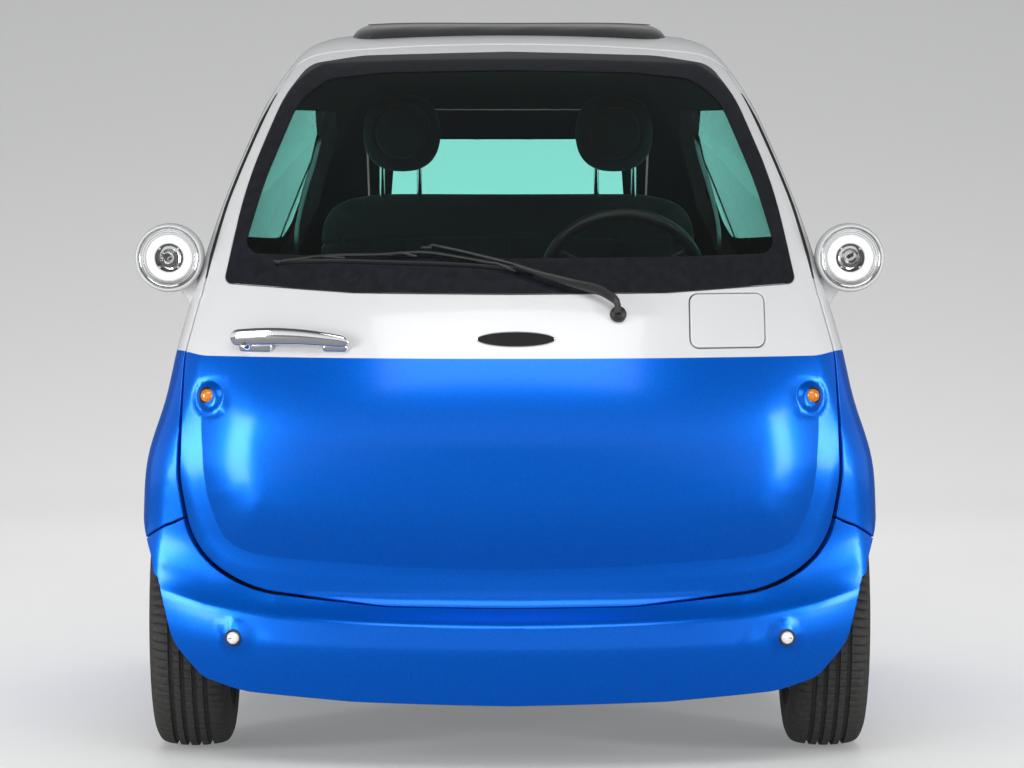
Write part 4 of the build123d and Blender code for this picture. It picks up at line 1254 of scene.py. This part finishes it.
# ---- the folding roof's cloth
CLOTH_HALF, CLOTH_FRONT, CLOTH_BACK, CLOTH_CORNER = 326.0, -450.0, 244.0, 60.0
BOWS = (-330.0, -205.0, -75.0, 55.0, 170.0)
THICK, HEM_IN, BOW_RISE = 1.8, 13, 2.6


def roof_terms(x, y):
    return np.stack((np.ones_like(x), x ** 2, y, y ** 2, x ** 4, y ** 3, x ** 2 * y, y ** 4, x ** 2 * y ** 2), -1)


# the roof's top under the cloth, as one polynomial fitted to the skin
top = np.array([cover(np.full(61, k * HALF_WAY / 60.0), np.linspace(TOP_T - 330, TOP_T + CAP, 61))
                for k in range(61)]).reshape(-1, 3)
top = np.concatenate((top, top * MIRROR_X))
top = top[(np.abs(top[:, 0]) < 345) & (top[:, 1] > -470) & (top[:, 1] < 265)]
ROOF_WEIGHTS = np.linalg.lstsq(roof_terms(top[:, 0], top[:, 1]) / 1e3, top[:, 2] / 1e3, rcond=None)[0]


def cloth_top():
    """The stretched cloth: pulled down to the roof round its rim, raised over its bows, with a hem line."""
    a, b = np.meshgrid(np.linspace(-1, 1, 93), np.linspace(0, 1, 141))
    x, y = a * CLOTH_HALF, CLOTH_FRONT + b * (CLOTH_BACK - CLOTH_FRONT)
    ex, ey = CLOTH_HALF - np.abs(x), np.minimum(y - CLOTH_FRONT, CLOTH_BACK - y)
    reach = np.hypot(CLOTH_CORNER - ex, CLOTH_CORNER - ey)
    in_corner = (ex < CLOTH_CORNER) & (ey < CLOTH_CORNER)
    inset = np.where(in_corner, CLOTH_CORNER - reach, np.minimum(ex, ey))
    over = in_corner & (inset < 0)
    shift = CLOTH_CORNER / np.maximum(reach, 1e-6)
    x = np.where(over, np.sign(x) * (CLOTH_HALF - CLOTH_CORNER + (CLOTH_CORNER - ex) * shift), x)
    y = np.where(over, np.where(y < -100, CLOTH_FRONT + CLOTH_CORNER - (CLOTH_CORNER - ey) * shift,
                                CLOTH_BACK - CLOTH_CORNER + (CLOTH_CORNER - ey) * shift), y)
    inset = np.maximum(inset, 0)
    rise = 17.0 * (1 - np.exp(-inset / 11.0))
    for bow in BOWS:
        rise += BOW_RISE * np.exp(-((y - bow) / 11.0) ** 2) * np.clip(inset / 40, 0, 1)
    sag = np.sin((y - CLOTH_FRONT) / 125.0 * 2 * math.pi) * 0.5 * np.clip(inset / 60, 0, 1)
    wrinkle = 0.6 * np.sin(x / 23.0 + 3 * np.sin(y / 47.0)) * np.exp(-((inset - 18) / 12.0) ** 2)
    hem = -1.2 * np.exp(-((inset - HEM_IN) / 1.6) ** 2) * (inset > 1)
    return np.stack((x, y, roof_terms(x, y) @ ROOF_WEIGHTS + 2.0 + rise + sag + wrinkle + hem), -1)


top_grid = cloth_top()
rows_n, cols_n, _ = top_grid.shape
top_points = top_grid.reshape(-1, 3)
count = len(top_points)
ids = np.arange(count).reshape(rows_n, cols_n)
quads = np.stack((ids[:-1, :-1], ids[:-1, 1:], ids[1:, 1:], ids[1:, :-1]), -1).reshape(-1, 4)
rim = np.concatenate((ids[0], ids[1:, -1], ids[-1, -2::-1], ids[-2:0:-1, 0]))
walls = np.column_stack((rim, np.roll(rim, -1), np.roll(rim, -1) + count, rim + count))
cloth = Shape().add(np.concatenate((top_points, top_points - (0, 0, THICK))),
                    np.concatenate((quads, quads[:, ::-1] + count, walls)))
roof_cloth = place("folding_roof_cloth", cloth, [CLOTH], "chassis", "sunroof", "roof_cloth", angle=60)
top_grid = top_grid * MM
seams = Shape()
xs = np.linspace(-296, 296, 60)
for bow in BOWS:
    ys = np.full(60, bow)
    line = np.column_stack((xs, ys, roof_terms(xs, ys) @ ROOF_WEIGHTS + 22.2))
    for off in (-5, 5):
        tube(seams, line + (0, off, -0.5), 0.7, 0, 6)
roof_seams = place("roof_cloth_stitching", seams, [STITCH], "chassis", None, "roof_cloth")

# ---- seats


def pad_form(half, crown, pinch, power):
    """A closed cushion on the box of half sizes: crowned faces and sides that pull in between the corners."""
    form = bmesh.new()
    bmesh.ops.create_cube(form, size=2.0)
    for _ in range(5):
        bmesh.ops.subdivide_edges(form, edges=form.edges[:], cuts=1, use_grid_fill=True)
    co, faces = points_and_faces(form)
    co /= ((np.abs(co) ** power).sum(1) ** (1 / power))[:, None]
    a, b, c = co.T
    points = co * np.array(half)
    bulge = (1 - np.abs(a) ** 3) * (1 - np.abs(b) ** 3)
    points[:, 2] += np.sign(c) * np.abs(c) ** 2 * crown * bulge
    points[:, 0] -= np.sign(a) * np.abs(a) ** 4 * pinch * (1 - b * b)
    points[:, 1] -= np.sign(b) * np.abs(b) ** 4 * pinch * (1 - a * a)
    return points, faces


def numbers_of(items, name):
    """A vector of every vertex or normal, as rows."""
    values = np.empty(len(items) * 3)
    items.foreach_get(name, values)
    return values.reshape(-1, 3)


def evaluated(obj):
    """A new mesh of what the object's modifiers make of it."""
    return bpy.data.meshes.new_from_object(obj.evaluated_get(bpy.context.evaluated_depsgraph_get()))


def apply_all(obj):
    data = evaluated(obj)
    obj.modifiers.clear()
    obj.data = data
    data.polygons.foreach_set("use_smooth", [True] * len(data.polygons))


def swell(obj, voxel, cap):
    """Inflates a closed form as cloth under pressure and applies the result, each point moving at most cap metres."""
    remesh = obj.modifiers.new("remesh", "REMESH")
    remesh.mode, remesh.voxel_size = "VOXEL", voxel
    apply_all(obj)
    rest = numbers_of(obj.data.vertices, "co")
    settings = obj.modifiers.new("cloth", "CLOTH").settings
    settings.use_pressure = True
    settings.uniform_pressure_force = 4.0
    settings.effector_weights.gravity = 0.0
    settings.quality = 3
    for f in range(1, 15):
        bpy.context.scene.frame_set(f)
        bpy.context.view_layer.update()
    move = numbers_of(evaluated(obj).vertices, "co") - rest
    size = np.linalg.norm(move, axis=1)
    move *= np.where(size > cap, cap / np.maximum(size, 1e-9), 1)[:, None]
    obj.modifiers.clear()
    obj.data.vertices.foreach_set("co", (rest + move).ravel())
    obj.data.update()
    bpy.context.scene.frame_set(1)


SEAM_DEEP, SEAM_WIDE = 5.0, 4.0


def stitched(obj, lines):
    """Sinks sewn channels into a pad: lines are functions of points that give their distance to the seam, in mm."""
    co, no = numbers_of(obj.data.vertices, "co"), numbers_of(obj.data.vertex_normals, "vector")
    for line in lines:
        co -= no * (SEAM_DEEP * MM * np.exp(-(line(co / MM) / SEAM_WIDE) ** 2))[:, None]
    obj.data.vertices.foreach_set("co", co.ravel())
    obj.data.update()


def seam(axis, at, where):
    """A seam across an axis, on the part of the pad that where picks."""
    return lambda p: np.where(where(p), p[:, axis] - at, 99)


def pad(name, form, centre, axes, voxel, cap, lines, node):
    """A padded piece: a form with its axes turned, swollen as cloth, with its channels, in place of a CAD solid."""
    points, faces = form
    obj = new_object(name, new_mesh(name, (points @ np.array(axes, float) + centre) * MM, faces))
    swell(obj, voxel * MM, cap * MM)
    finer = obj.modifiers.new("finer", "SUBSURF")
    finer.levels = finer.render_levels = 1
    apply_all(obj)
    stitched(obj, lines)
    obj.data.materials.clear()
    obj.data.materials.append(SEAT)
    dress(obj, "chassis", node)


lean = math.atan2(108, 500)
ON_CUSHION = (lambda p: p[:, 2] > 540)
ON_BACK = (lambda p: (p[:, 1] < 520) & (p[:, 2] < 1010))
cushion_lines = [seam(0, 0, ON_CUSHION), seam(1, 20, ON_CUSHION)]
cushion_lines += [seam(0, s, ON_CUSHION) for s in (-410, -250, -90, 90, 250, 410)] + [lambda p: p[:, 2] - 512]
back_lines = [seam(0, s, ON_BACK) for s in (-380, -240, -100, 0, 100, 240, 380)]
back_lines.append(lambda p: np.where(p[:, 1] < 545, p[:, 2] - 1010 + 0.00012 * p[:, 0] ** 2, 99))
pad("seat_cushion_pad", pad_form((508, 230, 46), 8, 5, 6), (0, 160, 532), ((1, 0, 0), (0, 1, 0), (0, 0, 1)), 9, 9,
    cushion_lines, "seat_cushion")
pad("seat_back_pad", pad_form((444, 262, 34), 9, 5, 6), (0, 470, 858),
    ((1, 0, 0), (0, math.sin(lean), math.cos(lean)), (0, -math.cos(lean), math.sin(lean))), 9, 9, back_lines,
    "seat_back")
for sign, word in ((1, "left"), (-1, "right")):
    spot = np.array((sign * 244.0, 472.0, 1243.0))
    round_lines = [lambda p, s=spot: np.where(p[:, 1] < s[1], np.hypot(p[:, 0] - s[0], p[:, 2] - s[2]) - 62, 99),
                   lambda p, s=spot: p[:, 1] - s[1] - 22]
    pad(f"headrest_pad_{word}", pad_form((89, 89, 31), 4, 0, 2.4), spot, ((1, 0, 0), (0, 0, 1), (0, -1, 0)), 6, 5,
        round_lines, f"headrest_{word}")
posts = Shape()
for sign in (-1, 1):
    for x in (-43, 43):
        foot = (sign * 247 + x, 506, 1068)
        tube(posts, smoothed([foot, (foot[0], 496, 1110), (foot[0], 490, 1150), (foot[0], 486, 1190)], 14), 6.0, 0, 16)
        lathe(posts, [(13, 0), (13, 7), (11, 10), (6.4, 11)], (foot[0], 500, 1078), (0, 0, 1), 1, 24)
place("headrest_posts", posts, [CHROME, BLACK], "chassis", None, "bright_chrome")
belts = Shape()
for sign in (-1, 1):
    line = smoothed([(436, 566, 1236), (446, 560, 1190), (470, 552, 1110), (488, 540, 1030), (486, 510, 900),
                     (474, 480, 760), (470, 470, 640)], 40)
    tube(belts, line * (sign, 1, 1), (22.0, 0.9), 0, 12, up=(sign, -0.3, 0))
    buckle = sign * 66
    tube(belts, [(buckle, 300, 590), (buckle, 292, 640), (buckle, 288, 668)], (12.0, 2.0), 0, 10, up=(0, -1, 0.1))
    block(belts, (buckle - 15, 278, 660), (buckle + 15, 300, 712), 4.0, 1)
    block(belts, (buckle - 9, 274, 694), (buckle + 9, 282, 708), 2.0, 2)
place("seat_belts", belts, [BLACK, BLACK, RED], "chassis", None, "seat_cloth")

# ---- steering wheel, column and pedals
WHEEL_AT, COLUMN_LEAN, RIM = np.array((234.0, -470.0, 929.0)), math.radians(32), 160
SHAFT = np.array((0, math.cos(COLUMN_LEAN), math.sin(COLUMN_LEAN)))
UPWARD = np.array((0, -math.sin(COLUMN_LEAN), math.cos(COLUMN_LEAN)))
wheel = Shape()
a = np.linspace(0, 2 * math.pi, 97)
tube(wheel, WHEEL_AT + np.outer(RIM * np.cos(a), (1, 0, 0)) + np.outer(RIM * np.sin(a), UPWARD), 12.6, 0, 18, up=SHAFT)
for turn in (90, 205, 335):
    r = math.radians(turn + 180)
    out = np.array((math.cos(r), 0, 0)) + UPWARD * math.sin(r)
    tube(wheel, [WHEEL_AT + out * d - SHAFT * s for d, s in ((30, 8), (70, 6), (115, 3), (152, 0))],
         [(20.0, 6.0), (15.0, 5.0), (12.0, 4.6), (15.0, 6.0)], 0, 16, up=SHAFT)
lathe(wheel, [(0, 15), (26, 14), (44, 9), (52, 2), (52, -8), (44, -15), (30, -24), (24, -34), (0, -34)], WHEEL_AT,
      SHAFT, 0, 56)
lathe(wheel, [(19, 14.6), (18, 16.2), (15, 16.6), (0, 16.8)], WHEEL_AT, SHAFT, 1, 40)
place("steering_wheel_rim", wheel, [WHEEL_GRIP, BLACK], "steer_wheel", "steering_wheel", "black_plastic")
shroud = Shape()
lathe(shroud, [(0, -40), (40, -42), (46, -50), (46, -130), (38, -190), (28, -240), (0, -242)], WHEEL_AT, SHAFT, 0, 40,
      squash=0.8)
for sign in (-1, 1):
    foot = WHEEL_AT - SHAFT * 62 + (sign * 36, 0, 0)
    tube(shroud, smoothed([foot, foot + (sign * 45, 0, 4), foot + (sign * 95, 8, 14)], 10),
         [(5, 4)] * 7 + [(6, 5), (7.5, 6), (5, 4)], 0, 12, up=(0, 1, 0.3))
block(shroud, (204, -712, 240), (264, -650, 790), 10.0, 0)
place("column_shroud", shroud, [BLACK], "chassis", "steering_column", "black_plastic")
pedals = Shape()
for x0, x1 in ((262, 322), (348, 390)):
    block(pedals, (x0, -742, 262), (x1, -730, 330), 5.0, 0, turn=((1, 0, 0), (0, 0.9, -0.43), (0, 0.43, 0.9)))
    for k in range(5):
        y, z = -744 + k * 5.5, 272 + k * 11.6
        tube(pedals, [(x0 + 6, y, z), (x1 - 6, y, z)], 1.8, 1, 8)
    middle = (x0 + x1) / 2
    tube(pedals, smoothed([(middle, -728, 296), (middle, -760, 360), (middle - 4, -800, 420)], 12), 7.0, 2, 12)
place("pedals", pedals, [STEEL, RUBBER_SEAL, BLACK], "chassis", None, "black_plastic")

# ---- strips in the side panes
strip = Shape()
for line, off, radii in (([(636, 1222), (690, 1140), (742, 1052), (768, 996)], -1.0, (7.0, 3.2)),
                         ([(-22, 1298), (-16, 1150), (-14, 1006)], 0.5, (9.0, 2.4))):
    spots = [on_skin(h, v, off, "side") for h, v in smoothed(line, 20)]
    tube(strip, [p for p, n in spots], radii, 0, 10, up=spots[10][1])
place_both(("side_pane_bars", strip, [RUBBER_SEAL], "chassis", None, "black_plastic"))

# ---- finishes of the carried-over nodes
FINISH = {"floor_tub": BLACK, "front_subframe": STEEL, "drive_unit": ALLOY, "battery_block": ALLOY,
          "seat_base": BLACK, "steering_rack": STEEL}
for word in ("left", "right"):
    FINISH |= {f"knuckle_{word}": STEEL, f"rim_front_{word}": ALLOY, f"rim_rear_{word}": ALLOY}
for node, finish in FINISH.items():
    for index in range(len(NODES[node].data.materials)):
        NODES[node].material_slots[index].material = finish

# ---- floor, backdrop, light and camera
profile = [(5 + 3 * math.sin(a), 3 - 3 * math.cos(a)) for a in np.linspace(0, math.pi / 2, 16)] + [(8, 12)]
verts = np.array([(x, y, z) for y, z in [(-16, 0)] + profile for x in (-14, 14)])
floor_mesh = new_mesh("studio_floor", verts, [(k, k + 1, k + 3, k + 2) for k in range(0, len(verts) - 2, 2)])
studio = new_object("studio_floor", floor_mesh)
paper = material("studio_paper", (0.66, 0.67, 0.68), 0.9, spread=0.006, scale=2, rough_spread=0)
# painted shade in the paper's colour: it falls off from the front of the floor to the top of the wall, by y + z in
# metres, standing in for the studio light's falloff
PAINTED_FALLOFF = [(-2.0, 0.95), (1.13, 0.95), (2.07, 0.9), (3.22, 0.845), (4.64, 0.86), (5.66, 0.87), (6.61, 0.8), (7.55, 0.71),
         (8.9, 0.59), (10.0, 0.53)]
FIRST, LAST = PAINTED_FALLOFF[0][0], PAINTED_FALLOFF[-1][0]
tree = paper.node_tree
shader = tree.nodes["Principled BSDF"]
split, total = add_node(tree, "SeparateXYZ"), maths(tree, "ADD")
span = add_node(tree, "MapRange", From_Min=FIRST, From_Max=LAST)
painted_falloff_ramp = add_ramp(tree, [((y - FIRST) / (LAST - FIRST), (value, value * 0.99, value * 0.975)) for y, value in PAINTED_FALLOFF])
wire(tree, (add_node(tree, "TexCoord"), "Object", split, "Vector"), (split, "Y", total, 0), (split, "Z", total, 1),
     (total, "Value", span, "Value"), (span, "Result", painted_falloff_ramp, "Fac"), (painted_falloff_ramp, "Color", shader, "Base Color"))
# a share of it glows, and all of it where it is seen through glass
rays, lit = add_node(tree, "LightPath"), add_node(tree, "MixShader")
least = maths(tree, "MAXIMUM", 0.2)
wire(tree, (rays, "Is Transmission Ray", least, 0), (least, "Value", lit, "Fac"), (shader, "BSDF", lit, 1),
     (add_node(tree, "Emission", Color=(0.95, 0.97, 0.98, 1)), "Emission", lit, 2))
# painted dark reflection: glossy rays that meet the floor see a dark emission, so the floor mirrored in the lacquer and
# the chrome is darker than the floor
flag, mirrored, part = add_node(tree, "MixShader"), maths(tree, "SUBTRACT", clamp=True), maths(tree, "MULTIPLY", 0.8)
wire(tree, (rays, "Is Glossy Ray", mirrored, 0), (rays, "Is Transmission Ray", mirrored, 1),
     (mirrored, "Value", part, 0), (part, "Value", flag, "Fac"), (lit, "Shader", flag, 1),
     (add_node(tree, "Emission", Color=(0.16, 0.17, 0.18, 1)), "Emission", flag, 2))
# the paper is clear from behind, so that the car can be seen from the back too
open_back = add_node(tree, "MixShader")
wire(tree, (add_node(tree, "NewGeometry"), "Backfacing", open_back, "Fac"), (flag, "Shader", open_back, 1),
     (add_node(tree, "BsdfTransparent"), "BSDF", open_back, 2),
     (open_back, "Shader", tree.nodes["Material Output"], "Surface"))
floor_mesh.materials.append(paper)

world = bpy.data.worlds.new("studio")
bpy.context.scene.world = world
world.use_nodes = True
tree = world.node_tree
# the world's brightness by the height of the direction: bright round the horizon, dark overhead
HEIGHTS = [(0.0, 0.75), (0.5, 0.8), (0.62, 0.62), (0.74, 0.2), (0.86, 0.07), (1.0, 0.07)]
parts, level = add_node(tree, "SeparateXYZ"), add_node(tree, "MapRange", From_Min=-1.0, From_Max=1.0)
fade = add_ramp(tree, [(height, (value * 0.97, value * 0.985, value)) for height, value in HEIGHTS])
wire(tree, (add_node(tree, "TexCoord"), "Generated", parts, "Vector"), (parts, "Z", level, "Value"),
     (level, "Result", fade, "Fac"), (fade, "Color", tree.nodes["Background"], "Color"))
tree.nodes["Background"].inputs["Strength"].default_value = 1.25


def softbox(name, place, aim, width, height, power):
    light = bpy.data.lights.new(name, "AREA")
    light.shape = "RECTANGLE"
    light.size, light.size_y, light.energy = width, height, power
    obj = new_object(name, light)
    obj.location = place
    obj.rotation_euler = (Vector(aim) - Vector(place)).to_track_quat("-Z", "Y").to_euler()
    return obj


softbox("softbox_left", (-4.9, -4.1, 1.35), (0, -0.6, 0.6), 1.1, 2.4, 128)
softbox("softbox_right", (5.0, -4.0, 1.5), (0, -0.6, 0.6), 0.8, 2.3, 92)
softbox("softbox_top", (0, 4.2, 5.2), (0, 0.3, 0.6), 5.5, 3.0, 205).visible_glossy = False
softbox("softbox_front", (0, -5.6, 5.0), (0, -0.6, 0.7), 5.5, 2.6, 188)

camera = bpy.data.cameras.new("camera")
camera.sensor_width, camera.lens = 36.0, 141.7
eye = new_object("camera", camera)
eye.location = (-0.025, -8.817, 1.135)
PITCH, PAN = math.radians(90 - 2.9), -0.0037
eye.rotation_euler = (Matrix.Rotation(PAN, 3, "Z") @ Matrix.Rotation(PITCH, 3, "X")).to_euler()
bpy.context.scene.camera = eye
bpy.context.scene.view_settings.view_transform = "Standard"
